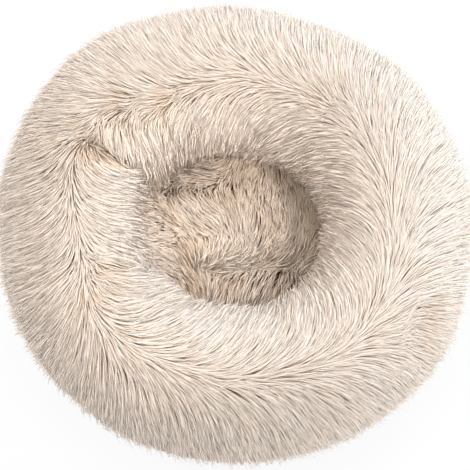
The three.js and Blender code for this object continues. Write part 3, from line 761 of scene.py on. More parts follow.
# A strand is a closed three-sided taper. Each ring has a share of its width, its length and the pile's depth.
STRAND_SIDES = 3
STRAND_WIDTH_SHARES = (1.3, 1.2, 0.9, 0.0)
STRAND_REACH_SHARES = (0.0, 0.3, 0.65, 1.0)
STRAND_RISE_SHARES = (0.0, 0.62, 0.96, 1.12)
STRAND_RINGS = len(STRAND_REACH_SHARES)
HALF_BREADTH, HALF_THICKNESS = 0.5, 0.22

# How strands differ: shares of the length and of the width, and how high they lie. Few lie on top, so that
# these show over most of their length, and fewer still stand out of the pile.
LENGTH_SHARES, BREADTH_SHARES = (0.7, 1.08), (0.65, 1.15)
LEAST_LIFT, LIFT_RANGE, LIFT_POWER = 0.82, 0.2, 2.0
PROUD_LIFT, PROUD_POWER = 0.3, 16.0
TUFT_STRAY, STRAND_STRAY = 1.0, 0.7

# How tufts draw strands together, and how tan, painted shade for the most part, darkens a strand. A sector's
# tufts reach past its strands.
HOLD_SHARES, GATHER_POWER = (0.3, 1.0), 1.3
TONES, TAN_SHADE = (0.6, 1.0), -0.6
TUFT_MARGIN_TURN = 0.06
RUFFLE_DETAIL = 1.5
ROOTED_SHARE = 0.99
MOST_ROOTS = 1e6

# The bake's map holds a strand's tone one way and its length the other, and each side of it beside them
MAP_SHARE, MAP_MARGIN, MAP_SIDE = 0.97, 0.015, 0.004

# Seeds of the random draws. Those of length, lift and stray are added to that of the tufts or the strands.
TUFT_SEED, STRAND_SEED = 5, 1
LENGTH_SEED, LIFT_SEED, STRAY_SEED = 11, 12, 13
HOLD_SEED, TONE_SEED, BREADTH_SEED = 31, 41, 42

# Kinds of node that the trees use often, and the fields they store
MATH, VECTOR_MATH = "ShaderNodeMath", "ShaderNodeVectorMath"
SPLIT, RANDOM = "ShaderNodeSeparateXYZ", "FunctionNodeRandomValue"
STORE, ON_SKIN = "GeometryNodeStoreNamedAttribute", "GeometryNodeSampleNearestSurface"
VECTOR = "FLOAT_VECTOR"
PLACES = tuple(f"p{k}" for k in range(STRAND_RINGS))
FIELDS = {
    **dict.fromkeys(("comb", "out", "pile", "stray", "walk", "way", "up", *PLACES), VECTOR),
    **dict.fromkeys(("rooted", "long", "lift", "tan", "hold", "tone", "broad", "ring", "corner"), "FLOAT"),
    "tuft": "INT",
}


def strand_model():
    """The strand that is repeated, before it is bent: its rings are told apart by an attribute."""
    rings, corners, faces = [], [], []
    for ring in range(STRAND_RINGS - 1):
        for corner in range(STRAND_SIDES):
            rings.append(ring)
            corners.append(2 * math.pi * corner / STRAND_SIDES + math.pi / 2)
            if ring:
                a = (ring - 1) * STRAND_SIDES + corner
                b = (ring - 1) * STRAND_SIDES + (corner + 1) % STRAND_SIDES
                faces.append((a, b, b + STRAND_SIDES, a + STRAND_SIDES))
    tip = len(rings)
    rings.append(STRAND_RINGS - 1)
    corners.append(0)
    for corner in range(STRAND_SIDES):
        faces.append((tip - STRAND_SIDES + corner, tip - STRAND_SIDES + (corner + 1) % STRAND_SIDES, tip))
    faces.append(tuple(reversed(range(STRAND_SIDES))))
    points = [(math.cos(c) * MM, math.sin(c) * MM, r * MM) for r, c in zip(rings, corners)]
    piece = mesh_object("strand_model", points, faces)
    set_attribute(piece, "ring", "FLOAT", rings)
    set_attribute(piece, "corner", "FLOAT", corners)
    return piece


def new_tree(name, inputs, names):
    """A node tree with its inputs and one output, and the named fields it reads."""
    tree = bpy.data.node_groups.new(name, "GeometryNodeTree")
    for label, kind in inputs.items():
        tree.interface.new_socket(label, in_out="INPUT", socket_type=f"NodeSocket{kind}")
    tree.interface.new_socket("Geometry", in_out="OUTPUT", socket_type="NodeSocketGeometry")
    field = {
        name: add_node(tree, "GeometryNodeInputNamedAttribute", {"Name": name}, data_type=FIELDS[name])
        for name in names
    }
    return tree, add_node(tree, "NodeGroupInput").outputs, field


def comb_tree():
    """Walks each root over the skin, the way the pile is combed, and stores where its strand's rings lie."""
    inputs = dict.fromkeys(("Roots", "Skin"), "Geometry")
    inputs.update(dict.fromkeys(("Length", "Ruffle", "Ruffle size"), "Float"))
    names = ("comb", "out", "pile", "stray", "walk", "long", "lift")
    tree, source, field = new_tree("comb_strands", inputs, names)
    walk = field["walk"]
    place = add_node(tree, "GeometryNodeInputPosition")
    pile = {"Mesh": source["Skin"], "Value": field["pile"], "Sample Position": place}
    root = add_node(tree, SPLIT, [add_node(tree, ON_SKIN, pile, data_type=VECTOR)]).outputs
    length = add_node(tree, MATH, [field["long"], root["Y"]], operation="MULTIPLY")
    points = source["Roots"]
    for name, value in (("long", length), ("tan", root["Z"]), ("p0", place), ("walk", place)):
        points = add_node(tree, STORE, [points, None, name, value], data_type=FIELDS[name])
    for k in range(1, STRAND_RINGS):
        spot = {"Mesh": source["Skin"], "Sample Position": walk}
        comb, out, pile = (
            add_node(tree, ON_SKIN, {"Value": field[name], **spot}, data_type=VECTOR)
            for name in ("comb", "out", "pile")
        )
        wander = add_node(tree, VECTOR_MATH, [walk, source["Ruffle size"]], operation="DIVIDE")
        cloud = {"Vector": wander, "Scale": 1.0, "Detail": RUFFLE_DETAIL}
        cloud = add_node(tree, "ShaderNodeTexNoise", cloud).outputs["Color"]
        cloud = add_node(tree, VECTOR_MATH, [cloud, (0.5, 0.5, 0.5)], operation="SUBTRACT")
        cloud = add_node(tree, VECTOR_MATH, [cloud, source["Ruffle"]], operation="SCALE")
        way = add_node(tree, VECTOR_MATH, [comb, cloud], operation="ADD")
        way = add_node(tree, VECTOR_MATH, [way, field["stray"]], operation="ADD")
        way = add_node(tree, VECTOR_MATH, [way], operation="NORMALIZE")
        step = STRAND_REACH_SHARES[k] - STRAND_REACH_SHARES[k - 1]
        reach = add_node(tree, MATH, [source["Length"], step], operation="MULTIPLY")
        reach = add_node(tree, MATH, [reach, field["long"]], operation="MULTIPLY")
        way = add_node(tree, VECTOR_MATH, [way, reach], operation="SCALE")
        there = add_node(tree, VECTOR_MATH, [walk, way], operation="ADD")
        ground = {0: source["Skin"], "Sample Position": there}
        ground = add_node(tree, "GeometryNodeProximity", ground, target_element="FACES").outputs["Position"]
        points = add_node(tree, STORE, [points, None, "walk", ground], data_type=VECTOR)
        pile = add_node(tree, VECTOR_MATH, [pile, (1, 0, 0)], operation="DOT_PRODUCT")
        rise = add_node(tree, MATH, [field["lift"], STRAND_RISE_SHARES[k]], operation="MULTIPLY")
        rise = add_node(tree, MATH, [pile, rise], operation="MULTIPLY")
        rise = add_node(tree, VECTOR_MATH, [out, rise], operation="SCALE")
        risen = add_node(tree, VECTOR_MATH, [walk, rise], operation="ADD")
        points = add_node(tree, STORE, [points, None, f"p{k}", risen], data_type=VECTOR)
    add_node(tree, "NodeGroupOutput", [points])
    return tree


def by_ring(tree, ring, values):
    """Picks one of a few fields by the strand's ring."""
    node = add_node(tree, "GeometryNodeIndexSwitch", {"Index": ring}, data_type="VECTOR")
    while len(node.index_switch_items) < len(values):
        node.index_switch_items.new()
    fill(tree, node, dict(enumerate(values, 1)))
    return node


def walked_roots(tree, source, field, comb, spacing, seed, margin, stray_share):
    """Roots of one sector of the bed, walked over the skin."""
    place = add_node(tree, "GeometryNodeInputPosition")
    bearing = add_node(tree, MATH, [field["rooted"], ROOTED_SHARE], operation="GREATER_THAN")
    where = {"Mesh": source["Skin"], "Selection": bearing}
    where.update({"Distance Min": spacing, "Density Max": MOST_ROOTS, "Seed": seed})
    spots = add_node(tree, "GeometryNodeDistributePointsOnFaces", where, distribute_method="POISSON")
    split = add_node(tree, SPLIT, [place]).outputs
    turn = add_node(tree, MATH, [split["Y"], split["X"]], operation="ARCTAN2")
    start = add_node(tree, MATH, [source["From turn"], margin], operation="SUBTRACT")
    width = add_node(tree, MATH, [source["Turn width"], 2 * margin], operation="ADD")
    turn = add_node(tree, MATH, [turn, start], operation="SUBTRACT")
    turn = add_node(tree, MATH, [turn, 2 * math.pi, 0.0], operation="WRAP")
    outside = add_node(tree, MATH, [turn, width], operation="GREATER_THAN")
    spots = add_node(tree, "GeometryNodeDeleteGeometry", [spots, outside], domain="POINT")
    long = add_node(tree, RANDOM, [*LENGTH_SHARES, None, seed + LENGTH_SEED], data_type="FLOAT")
    chance = add_node(tree, RANDOM, [0.0, 1.0, None, seed + LIFT_SEED], data_type="FLOAT")
    stray = add_node(tree, RANDOM, [(-1, -1, -1), (1, 1, 1), None, seed + STRAY_SEED], data_type=VECTOR)
    lift = LEAST_LIFT
    for power, share in ((LIFT_POWER, LIFT_RANGE), (PROUD_POWER, PROUD_LIFT)):
        rare = add_node(tree, MATH, [chance, power], operation="POWER")
        lift = add_node(tree, MATH, [rare, share, lift], operation="MULTIPLY_ADD")
    stray = add_node(tree, VECTOR_MATH, [stray, source["Stray"]], operation="SCALE")
    stray = add_node(tree, VECTOR_MATH, [stray, stray_share], operation="SCALE")
    for name, value in (("long", long), ("lift", lift), ("stray", stray)):
        spots = add_node(tree, STORE, [spots, None, name, value], data_type=FIELDS[name])
    walk = {name: source[name] for name in ("Skin", "Length", "Ruffle", "Ruffle size")}
    return add_node(tree, "GeometryNodeGroup", {"Roots": spots, **walk}, node_tree=comb)


def fur_tree():
    """Long pile: strands rooted all over a skin, combed along it and drawn together in tufts."""
    comb = comb_tree()
    inputs = {"Skin": "Geometry", "Strand": "Object", "Material": "Material"}
    inputs.update(dict.fromkeys(("Spacing", "Tuft spacing", "Length", "Width", "Gather"), "Float"))
    inputs.update(dict.fromkeys(("Ruffle", "Ruffle size", "Stray", "From turn", "Turn width"), "Float"))
    names = ("rooted", "tan", "tuft", "hold", "tone", "broad", "ring", "corner", "out", *PLACES)
    tree, source, field = new_tree("long_pile", inputs, names)
    rings = [field[name] for name in PLACES]
    place = add_node(tree, "GeometryNodeInputPosition")
    common = (tree, source, field, comb)
    tufts = walked_roots(*common, source["Tuft spacing"], TUFT_SEED, TUFT_MARGIN_TURN, TUFT_STRAY)
    strands = walked_roots(*common, source["Spacing"], STRAND_SEED, 0.0, STRAND_STRAY)

    nearest = {"Geometry": tufts, "Sample Position": place}
    nearest = add_node(tree, "GeometryNodeSampleNearest", nearest, domain="POINT")
    hold = add_node(tree, RANDOM, [*HOLD_SHARES, None, HOLD_SEED], data_type="FLOAT")
    tone = add_node(tree, RANDOM, [*TONES, None, TONE_SEED], data_type="FLOAT")
    tone = add_node(tree, MATH, [field["tan"], TAN_SHADE, tone], operation="MULTIPLY_ADD")
    broad = add_node(tree, RANDOM, [*BREADTH_SHARES, None, BREADTH_SEED], data_type="FLOAT")
    for name, value in (("tuft", nearest), ("hold", hold), ("tone", tone), ("broad", broad)):
        strands = add_node(tree, STORE, [strands, None, name, value], data_type=FIELDS[name])
    for k in range(1, STRAND_RINGS):
        guide = {"Geometry": tufts, "Value": rings[k], "Index": field["tuft"]}
        guide = add_node(tree, "GeometryNodeSampleIndex", guide, data_type=VECTOR, domain="POINT")
        share = STRAND_REACH_SHARES[k] ** GATHER_POWER
        share = add_node(tree, MATH, [source["Gather"], share], operation="MULTIPLY")
        share = add_node(tree, MATH, [share, field["hold"]], operation="MULTIPLY")
        toward = add_node(tree, VECTOR_MATH, [guide, rings[k]], operation="SUBTRACT")
        toward = add_node(tree, VECTOR_MATH, [toward, share], operation="SCALE")
        drawn = add_node(tree, VECTOR_MATH, [rings[k], toward], operation="ADD")
        strands = add_node(tree, STORE, [strands, None, PLACES[k], drawn], data_type=VECTOR)

    model = add_node(tree, "GeometryNodeObjectInfo", {"Object": source["Strand"]}).outputs["Geometry"]
    hair = add_node(tree, "GeometryNodeInstanceOnPoints", {"Points": strands, "Instance": model})
    hair = add_node(tree, "GeometryNodeRealizeInstances", [hair])
    ahead, behind = [*rings[1:], rings[-1]], [rings[0], *rings[:-1]]
    ways = [add_node(tree, VECTOR_MATH, pair, operation="SUBTRACT") for pair in zip(ahead, behind)]
    way = add_node(tree, VECTOR_MATH, [by_ring(tree, field["ring"], ways)], operation="NORMALIZE")
    side = add_node(tree, VECTOR_MATH, [way, field["out"]], operation="CROSS_PRODUCT")
    side = add_node(tree, VECTOR_MATH, [side], operation="NORMALIZE")
    above = add_node(tree, VECTOR_MATH, [side, way], operation="CROSS_PRODUCT")
    shares = by_ring(tree, field["ring"], [(s, s, s) for s in STRAND_WIDTH_SHARES])
    width = add_node(tree, MATH, [source["Width"], field["broad"]], operation="MULTIPLY")
    size = add_node(tree, VECTOR_MATH, [shares, width], operation="SCALE")
    size = add_node(tree, VECTOR_MATH, [size, (1, 0, 0)], operation="DOT_PRODUCT")
    along = by_ring(tree, field["ring"], [(s, s, s) for s in STRAND_REACH_SHARES])
    along = add_node(tree, VECTOR_MATH, [along, (1, 0, 0)], operation="DOT_PRODUCT")
    centre = by_ring(tree, field["ring"], rings)
    offsets, spot = [], []
    section = (("COSINE", side, HALF_BREADTH, field["tone"]), ("SINE", above, HALF_THICKNESS, along))
    for operation, axis, half, shade in section:
        corner = add_node(tree, MATH, [field["corner"]], operation=operation)
        out = add_node(tree, MATH, [corner, half], operation="MULTIPLY")
        out = add_node(tree, MATH, [size, out], operation="MULTIPLY")
        offsets.append(add_node(tree, VECTOR_MATH, [axis, out], operation="SCALE"))
        shade = add_node(tree, MATH, [shade, MAP_SHARE, MAP_MARGIN], operation="MULTIPLY_ADD")
        spot.append(add_node(tree, MATH, [corner, MAP_SIDE, shade], operation="MULTIPLY_ADD"))
    offset = add_node(tree, VECTOR_MATH, offsets, operation="ADD")
    moved = add_node(tree, VECTOR_MATH, [centre, offset], operation="ADD")
    hair = add_node(tree, "GeometryNodeSetPosition", {"Geometry": hair, "Position": moved})
    hair = add_node(tree, STORE, [hair, None, "along", along], data_type="FLOAT")
    spot = add_node(tree, "ShaderNodeCombineXYZ", spot)
    hair = add_node(tree, STORE, [hair, None, "OFBake", spot], data_type="FLOAT2", domain="CORNER")
    for name in ("walk", "comb", "pile", "stray", "long", "lift", *names):
        if name not in ("rooted", "tone"):
            hair = add_node(tree, "GeometryNodeRemoveAttribute", {"Geometry": hair, "Name": name})
    hair = add_node(tree, "GeometryNodeSetShadeSmooth", [hair])
    hair = add_node(tree, "GeometryNodeRealizeInstances", [hair])
    hair = add_node(tree, "GeometryNodeSetMaterial", {"Geometry": hair, "Material": source["Material"]})
    add_node(tree, "NodeGroupOutput", [hair])
    return tree


def evaluated(piece, name, tree, values):
    """Runs a node tree on a piece's mesh, and gives the result as a new object with a plain mesh."""
    modifier = piece.modifiers.new("nodes", "NODES")
    modifier.node_group = tree
    for socket in tree.interface.items_tree:
        if socket.name in values:
            modifier[socket.identifier] = values[socket.name]
    depsgraph = bpy.context.evaluated_depsgraph_get()
    mesh = bpy.data.meshes.new_from_object(
        piece.evaluated_get(depsgraph), preserve_all_data_layers=True, depsgraph=depsgraph
    )
    mesh.name = name
    material = next(m for m in mesh.materials if m)
    mesh.materials.clear()
    mesh.materials.append(material)
    mesh.polygons.foreach_set("material_index", np.zeros(len(mesh.polygons), dtype=np.int32))
    piece.modifiers.remove(modifier)
    made = bpy.data.objects.new(name, mesh)
    bpy.context.scene.collection.objects.link(made)
    return made


def colour_ramp(tree, fac, stops):
    """A colour ramp. Its stops are pairs of a place and a linear colour."""
    ramp = add_node(tree, "ShaderNodeValToRGB", {"Fac": fac})
    elements = ramp.color_ramp.elements
    for _ in stops[2:]:
        elements.new(1)
    for element, (place, colour) in zip(elements, stops):
        element.position, element.color = place, colour
    return ramp


# Where the middle colours of a strand lie along it
CREAM_MIDDLE, TAN_MIDDLE = 0.3, 0.35


def fur_material(name):
    """Polyester faux fur, heat-set: matt strands, paler towards the tip, partly as painted shade deep in the
    pile, and tan where shade is painted into the pile, as well as in the floor's even tint and random
    patches.
    """
    colours = bpy.context.scene.catbed_colours
    sheen = {"Sheen_Weight": 0.15, "Sheen_Roughness": 0.6}
    material, tree, shader = new_material(name, 0.9, Specular_IOR_Level=0.2, **sheen)
    along = add_node(tree, "ShaderNodeAttribute", attribute_name="along").outputs["Fac"]
    tone = add_node(tree, "ShaderNodeAttribute", attribute_name="tone").outputs["Fac"]
    cream = ((0, colours.cream_root), (CREAM_MIDDLE, colours.cream_middle), (1, colours.cream_tip))
    tan = ((0, colours.tan_root), (TAN_MIDDLE, colours.tan_middle), (1, colours.tan_tip))
    cream, tan = colour_ramp(tree, along, cream), colour_ramp(tree, along, tan)
    mixed = add_node(tree, "ShaderNodeMix", {"Factor": tone, 6: tan, 7: cream}, data_type="RGBA")
    fill(tree, shader, {"Base Color": mixed})
    return material


# Uneven dye of the cloths, in mm, the shares of dye and of thread in the colour, and where the colours lie
DYE_SIZE, DYE_SHARE, THREAD_SHARE = 9, 0.6, 0.5
CLOTH_DARK, CLOTH_LIGHT = 0.15, 0.85
GRAIN_DARK, GRAIN_LIGHT, GRAIN_DETAIL = 0.3, 0.7, 4.0

# Sewing
STITCH_LENGTH = 2.6
STITCH_PITCH = 3.4
THREAD_WIDTH = 0.45
SEAM_MARGIN = 2.2
BINDING_WIDTH = 3.2
RIM_SECTORS = 10

# Wrinkles of the bags: how deep, and each one's size and share. In the rim they grow over so much height.
CRUMPLE = 1.2
WRINKLES = ((18, 1), (7, 0.4))
CRUMPLE_RISE = 20


def weave(tree, vector, pitch):
    """Height of a plain weave, whose threads go over and under in turn. The pitch of a thread is in mm."""
    place = add_node(tree, VECTOR_MATH, [vector, 1 / (pitch * MM)], operation="SCALE")
    split = add_node(tree, SPLIT, [place]).outputs
    ridges, cells = [], []
    for along in (split["X"], split["Y"]):
        turned = add_node(tree, MATH, [along, math.pi], operation="MULTIPLY")
        ridge = add_node(tree, MATH, [turned], operation="SINE")
        ridges.append(add_node(tree, MATH, [ridge], operation="ABSOLUTE"))
        cells.append(add_node(tree, MATH, [along], operation="FLOOR"))
    over = add_node(tree, MATH, cells, operation="ADD")
    over = add_node(tree, MATH, [over, 2.0], operation="FLOORED_MODULO")
    return add_node(tree, "ShaderNodeMix", [over, *ridges])


def speckle(tree, size, detail=2.0):
    """Fine noise on the object's own coordinates. The size is in mm."""
    place = add_node(tree, "ShaderNodeTexCoord").outputs["Object"]
    return add_node(tree, "ShaderNodeTexNoise", {"Vector": place, "Scale": 1 / (size * MM), "Detail": detail})


def cloth_material(name, dark, light, pitch, roughness, mapped=True, **sockets):
    """Woven cloth: threads that go over and under, with uneven dye. Mapped cloth follows its own run."""
    material, tree, shader = new_material(name, roughness, **sockets)
    if mapped:
        place = add_node(tree, "ShaderNodeUVMap", uv_map="Cloth")
    else:
        place = add_node(tree, "ShaderNodeTexCoord").outputs["Object"]
    threads = weave(tree, place, pitch)
    shade = add_node(tree, MATH, [threads, THREAD_SHARE], operation="MULTIPLY")
    shade = add_node(tree, MATH, [speckle(tree, DYE_SIZE), DYE_SHARE, shade], operation="MULTIPLY_ADD")
    colour = colour_ramp(tree, shade, ((CLOTH_DARK, linear(dark)), (CLOTH_LIGHT, linear(light))))
    bump = add_node(tree, "ShaderNodeBump", {"Height": threads, "Distance": pitch / 4 * MM})
    fill(tree, shader, {"Base Color": colour, "Normal": bump})
    return material


def plain_material(name, dark, light, size, depth, roughness, **sockets):
    """A surface with a fine unevenness of one size, in its colour and in its relief."""
    material, tree, shader = new_material(name, roughness, **sockets)
    grain = speckle(tree, size, GRAIN_DETAIL)
    colour = colour_ramp(tree, grain, ((GRAIN_DARK, linear(dark)), (GRAIN_LIGHT, linear(light))))
    bump = add_node(tree, "ShaderNodeBump", {"Height": grain, "Distance": depth * MM})
    fill(tree, shader, {"Base Color": colour, "Normal": bump})
    return material


def repeat_tree():
    """Sets a model on each point of a carrier, with its X along the point's way and its Z along its up."""
    inputs = {"Carrier": "Geometry", "Model": "Object", "Material": "Material"}
    tree, source, field = new_tree("repeated_model", inputs, ("way", "up"))
    align = "FunctionNodeAlignRotationToVector"
    turned = add_node(tree, align, {"Vector": field["way"]}, axis="X")
    turned = add_node(tree, align, {"Rotation": turned, "Vector": field["up"]}, axis="Z", pivot_axis="X")
    points = add_node(tree, "GeometryNodeMeshToPoints", {"Mesh": source["Carrier"]})
    model = add_node(tree, "GeometryNodeObjectInfo", {"Object": source["Model"]}).outputs["Geometry"]
    copies = {"Points": points, "Instance": model, "Rotation": turned}
    copies = add_node(tree, "GeometryNodeInstanceOnPoints", copies)
    for name in field:
        copies = add_node(tree, "GeometryNodeRemoveAttribute", {"Geometry": copies, "Name": name})
    copies = add_node(tree, "GeometryNodeRealizeInstances", [copies])
    copies = add_node(tree, "GeometryNodeSetMaterial", {"Geometry": copies, "Material": source["Material"]})
    add_node(tree, "NodeGroupOutput", [copies])
    return tree


def repeated(name, model, places, material):
    """One piece from many copies of a model. Each place is a point, a way and an up, in mm."""
    tree = bpy.data.node_groups.get("repeated_model") or repeat_tree()
    spots, ways, ups = (np.array(column) for column in zip(*places))
    carrier = mesh_object("carrier", spots * MM, [])
    set_attribute(carrier, "way", "FLOAT_VECTOR", ways)
    set_attribute(carrier, "up", "FLOAT_VECTOR", ups)
    piece = evaluated(carrier, name, tree, {"Model": model, "Material": material})
    bpy.data.objects.remove(carrier)
    bpy.data.objects.remove(model)
    return piece


def round_places(section, turns, up, flip=1):
    """Places round the bed at one point of a section, each along the run and facing one way in it."""
    places = []
    for a in np.radians(turns):
        out = np.array([math.cos(a), math.sin(a), 0])
        run = np.array([-math.sin(a), math.cos(a), 0])
        places.append((out * section[0] + (0, 0, section[1]), run * flip, out * up[0] + (0, 0, up[1])))
    return places


def layered(name, layers, smooth=True):
    """A solid through closed outlines with as many points each, one above the other. Sizes are in mm."""
    points = [(x * MM, y * MM, z * MM) for layer in layers for x, y, z in layer]
    count = len(layers[0])
    faces = [tuple(reversed(range(count))), tuple(range(len(points) - count, len(points)))]
    for i in range(len(layers) - 1):
        for j in range(count):
            k = (j + 1) % count
            faces.append((i * count + j, i * count + k, (i + 1) * count + k, (i + 1) * count + j))
    return mesh_object(name, points, faces, smooth=smooth)


def circle(radius, sides):
    """Points of a circle."""
    turns = [2 * math.pi * j / sides for j in range(sides)]
    return [(radius * math.cos(a), radius * math.sin(a)) for a in turns]


STITCH_RINGS, STITCH_SIDES = 5, 5
STITCH_TIP_SHARE = 0.55


def stitches_along(name, section, turns, up):
    """A row of sewn stitches round the bed: short arched threads that dip at both ends."""
    layers = []
    for share in np.linspace(0, 1, STITCH_RINGS):
        arch = math.sin(math.pi * share)
        thickness = THREAD_WIDTH / 2 * (STITCH_TIP_SHARE + (1 - STITCH_TIP_SHARE) * arch)
        x = (share - 0.5) * STITCH_LENGTH
        layers.append([(x, y, THREAD_WIDTH / 2 * arch + z) for y, z in circle(thickness, STITCH_SIDES)])
    places = round_places(section, turns, up)
    return repeated(name, layered("stitch_model", layers), places, bpy.data.materials["sewing_thread"])


def plate_model(name, outline, half_height, edge):
    """A small moulded plate with eased edges, from its outline in mm."""
    outline = np.array(outline, dtype=float)
    middle = outline.mean(0)
    inset = middle + (outline - middle) * (1 - edge / np.abs(outline - middle).max())
    side = half_height - edge
    layers = ((inset, -half_height), (outline, -side), (outline, side), (inset, half_height))
    return layered(name, [[(x, y, z) for x, y in layer] for layer, z in layers], smooth=False)


# Bevel of the metal pieces, and the angle under which their faces count as one
BEVEL_SEGMENTS, FLAT_ANGLE = 2, 1


def refined(node, name, material, edge):
    """A copy of a CAD node with its edges eased, which stands for it. The edge's width is in mm."""
    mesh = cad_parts[node].data.copy()
    mesh.name = name
    mesh.materials.clear()
    mesh.materials.append(material)
    shape = bmesh.new()
    shape.from_mesh(mesh)
    bmesh.ops.remove_doubles(shape, verts=shape.verts, dist=0.01 * MM)
    limit = math.radians(FLAT_ANGLE)
    bmesh.ops.dissolve_limit(shape, angle_limit=limit, verts=shape.verts, edges=shape.edges)
    shape.to_mesh(mesh)
    shape.free()
    piece = bpy.data.objects.new(name, mesh)
    bpy.context.scene.collection.objects.link(piece)
    bevel = piece.modifiers.new("eased", "BEVEL")
    bevel.width, bevel.segments, bevel.limit_method = edge * MM, BEVEL_SEGMENTS, "ANGLE"
    bevel.use_clamp_overlap = True
    return piece


def thick(piece, depth):
    """Gives a skin its wall, inwards. The depth is in mm."""
    wall = piece.modifiers.new("wall", "SOLIDIFY")
    wall.thickness, wall.offset = depth * MM, -1


RIM_RUFFLE_SIZE = 22.0

# What differs in the floor's pile, which lies in longer, looser tufts
FLOOR_FUR = {
    "Spacing": 1.6,
    "Tuft spacing": 13,
    "Gather": 0.6,
    "Width": 1.6,
    "Ruffle": 0.9,
    "Ruffle size": 15.0,
    "Stray": 0.3,
}


def fur_values(strand, material, **changes):
    """Inputs of the long pile's tree, with what differs from the rim's."""
    settings = bpy.context.scene.catbed_fur
    values = {
        "Strand": strand,
        "Material": material,
        "Spacing": settings.strand_gap,
        "Tuft spacing": settings.tuft_gap,
        "Length": settings.strand_length,
        "Width": settings.strand_width,
        "Gather": settings.gather,
        "Ruffle": settings.ruffle,
        "Ruffle size": RIM_RUFFLE_SIZE,
        "Stray": settings.stray,
        "From turn": 0.0,
        "Turn width": 2 * math.pi,
        **changes,
    }
    for key in ("Spacing", "Tuft spacing", "Length", "Width", "Ruffle size"):
        values[key] *= MM * 1
    return values


class CATBED_OT_rim(bpy.types.Operator):
    """Make the rim's backing and its long pile"""

    bl_idname = "catbed.rim"
    bl_label = "Rim fur"

    def execute(self, context):
        backing, over = rim_skins()
        strand = strand_model()
        tree = fur_tree()
        fur = fur_material("cream_faux_fur")
        # Polyester knit backing in a dull tan, which paints the shade on the ground between the strands
        knit = cloth_material("knitted_backing", "#b58f6c", "#d9b996", 1.4, 0.95)
        made = []
        width = 2 * math.pi / RIM_SECTORS
        for i in range(RIM_SECTORS):
            values = fur_values(strand, fur, **{"From turn": width * i, "Turn width": width})
            made.append(evaluated(over, f"rim_fur_{i + 1:02d}", tree, values))
        bpy.data.objects.remove(over)
        bpy.data.objects.remove(strand)
        backing.data.materials.append(knit)
        thick(backing, BACKING)
        seated([backing, *made], "plush_fur", "rim_fur_cover")
        return {"FINISHED"}


class CATBED_OT_nest(bpy.types.Operator):
    """Make the nest floor's backing and its loose pile"""

    bl_idname = "catbed.nest"
    bl_label = "Nest floor"

    def execute(self, context):
        floor = floor_skin()
        strand = strand_model()
        length = context.scene.catbed_fur.floor_strand_length
        fur = bpy.data.materials["cream_faux_fur"]
        values = fur_values(strand, fur, Length=length, **FLOOR_FUR)
        pile = evaluated(floor, "floor_fur", bpy.data.node_groups["long_pile"], values)
        bpy.data.objects.remove(strand)
        for name in ("comb", "out", "pile", "rooted"):
            floor.data.attributes.remove(floor.data.attributes[name])
        floor.data.materials.append(bpy.data.materials["knitted_backing"])
        thick(floor, BACKING)
        seated([floor, pile], "plush_fur", "floor_fur_panel")
        return {"FINISHED"}


# The base cloth's sheet, hem and grip dots. A dot's layers are shares of its radius and of its height.
BASE_EDGE_ANGLE = 270
BASE_RINGS, BASE_STEPS, MARGIN_STEP, MARGIN_POINTS = 7, 120, 4, 40
HEM_ANGLE = 3
DOT_SIDES = 12
DOT_LAYERS = ((1.0, 0.0), (0.97, 0.55), (0.8, 0.9), (0.4, 1.0))


class CATBED_OT_base(bpy.types.Operator):
    """Make the coated base cloth with its grip dots and its seam"""

    bl_idname = "catbed.base"
    bl_label = "Base cloth"

    def execute(self, context):
        # Polyester plain weave with a thin coating: an even, slightly glossy beige
        cloth = cloth_material("oxford_cloth", "#a39683", "#c3b7a5", 0.9, 0.6, mapped=False)
        # Moulded elastomer: small smooth domes, a little darker than the cloth
        rubber = plain_material("grip_rubber", "#8f8579", "#9d9388", 2.0, 0.05, 0.5)
        # Spun polyester thread: pale, with a fine twist
        cloth_material("sewing_thread", "#cdbda8", "#e9ddcc", 0.3, 0.7, mapped=False)
        margin = np.arange(BASE_MARGIN_ANGLE, BASE_EDGE_ANGLE, -MARGIN_STEP)
        inside = [skin_section(a, -BACKING)[:2] for a in margin]
        outside = [skin_section(a, BASE_CLOTH - BACKING)[:2] for a in margin[::-1]]
        rings = np.linspace(0, RIM_CENTRE, BASE_RINGS)
        section = [(r, DOT_HEIGHT) for r in rings] + outside + inside + [(r, BASE_TOP) for r in rings[::-1]]
        base = swept("base_sheet", section, cloth, steps=BASE_STEPS)

        outlines = [(circle(r * DOT_DIAMETER / 2, DOT_SIDES), h * DOT_HEIGHT) for r, h in DOT_LAYERS]
        dot = layered("dot_model", [[(x, y, z) for x, y in outline] for outline, z in outlines])
        spots = [(0, 0)]
        for ring in range(1, DOT_RINGS + 1):
            spots += circle(ring * DOT_PITCH, ring * DOTS_PER_RING)
        places = [((x, y, DOT_HEIGHT), (1, 0, 0), (0, 0, -1)) for x, y in spots]
        dots = repeated("grip_dots", dot, places, rubber)

        radius, height, tr, tz = skin_section(BASE_MARGIN_ANGLE - HEM_ANGLE, BASE_CLOTH - BACKING)
        turns = np.arange(0, 360, math.degrees(STITCH_PITCH / radius))
        stitches = stitches_along("margin_stitches", (radius, height), turns, (tz, -tr))
        seated([base, dots, stitches], "base_cloth", "base_cloth")
        margin = np.array(skin_section(np.linspace(BASE_EDGE_ANGLE, BASE_MARGIN_ANGLE, MARGIN_POINTS))[:2])
        return {"FINISHED"}


# Section of the band, in shares of its half width and half thickness, and the fold of the binding
BAND_SECTION = ((-1, -1), (-1, 1), (-0.5, 1.2), (0.5, 1.2), (1, 1), (1, -1))
BAND_STEPS, FOLD_POINTS = 150, 7
STITCH_TURN = math.degrees(STITCH_PITCH / BAND_MIDDLE[0])
SIDES = (("upper", 1), ("lower", -1))


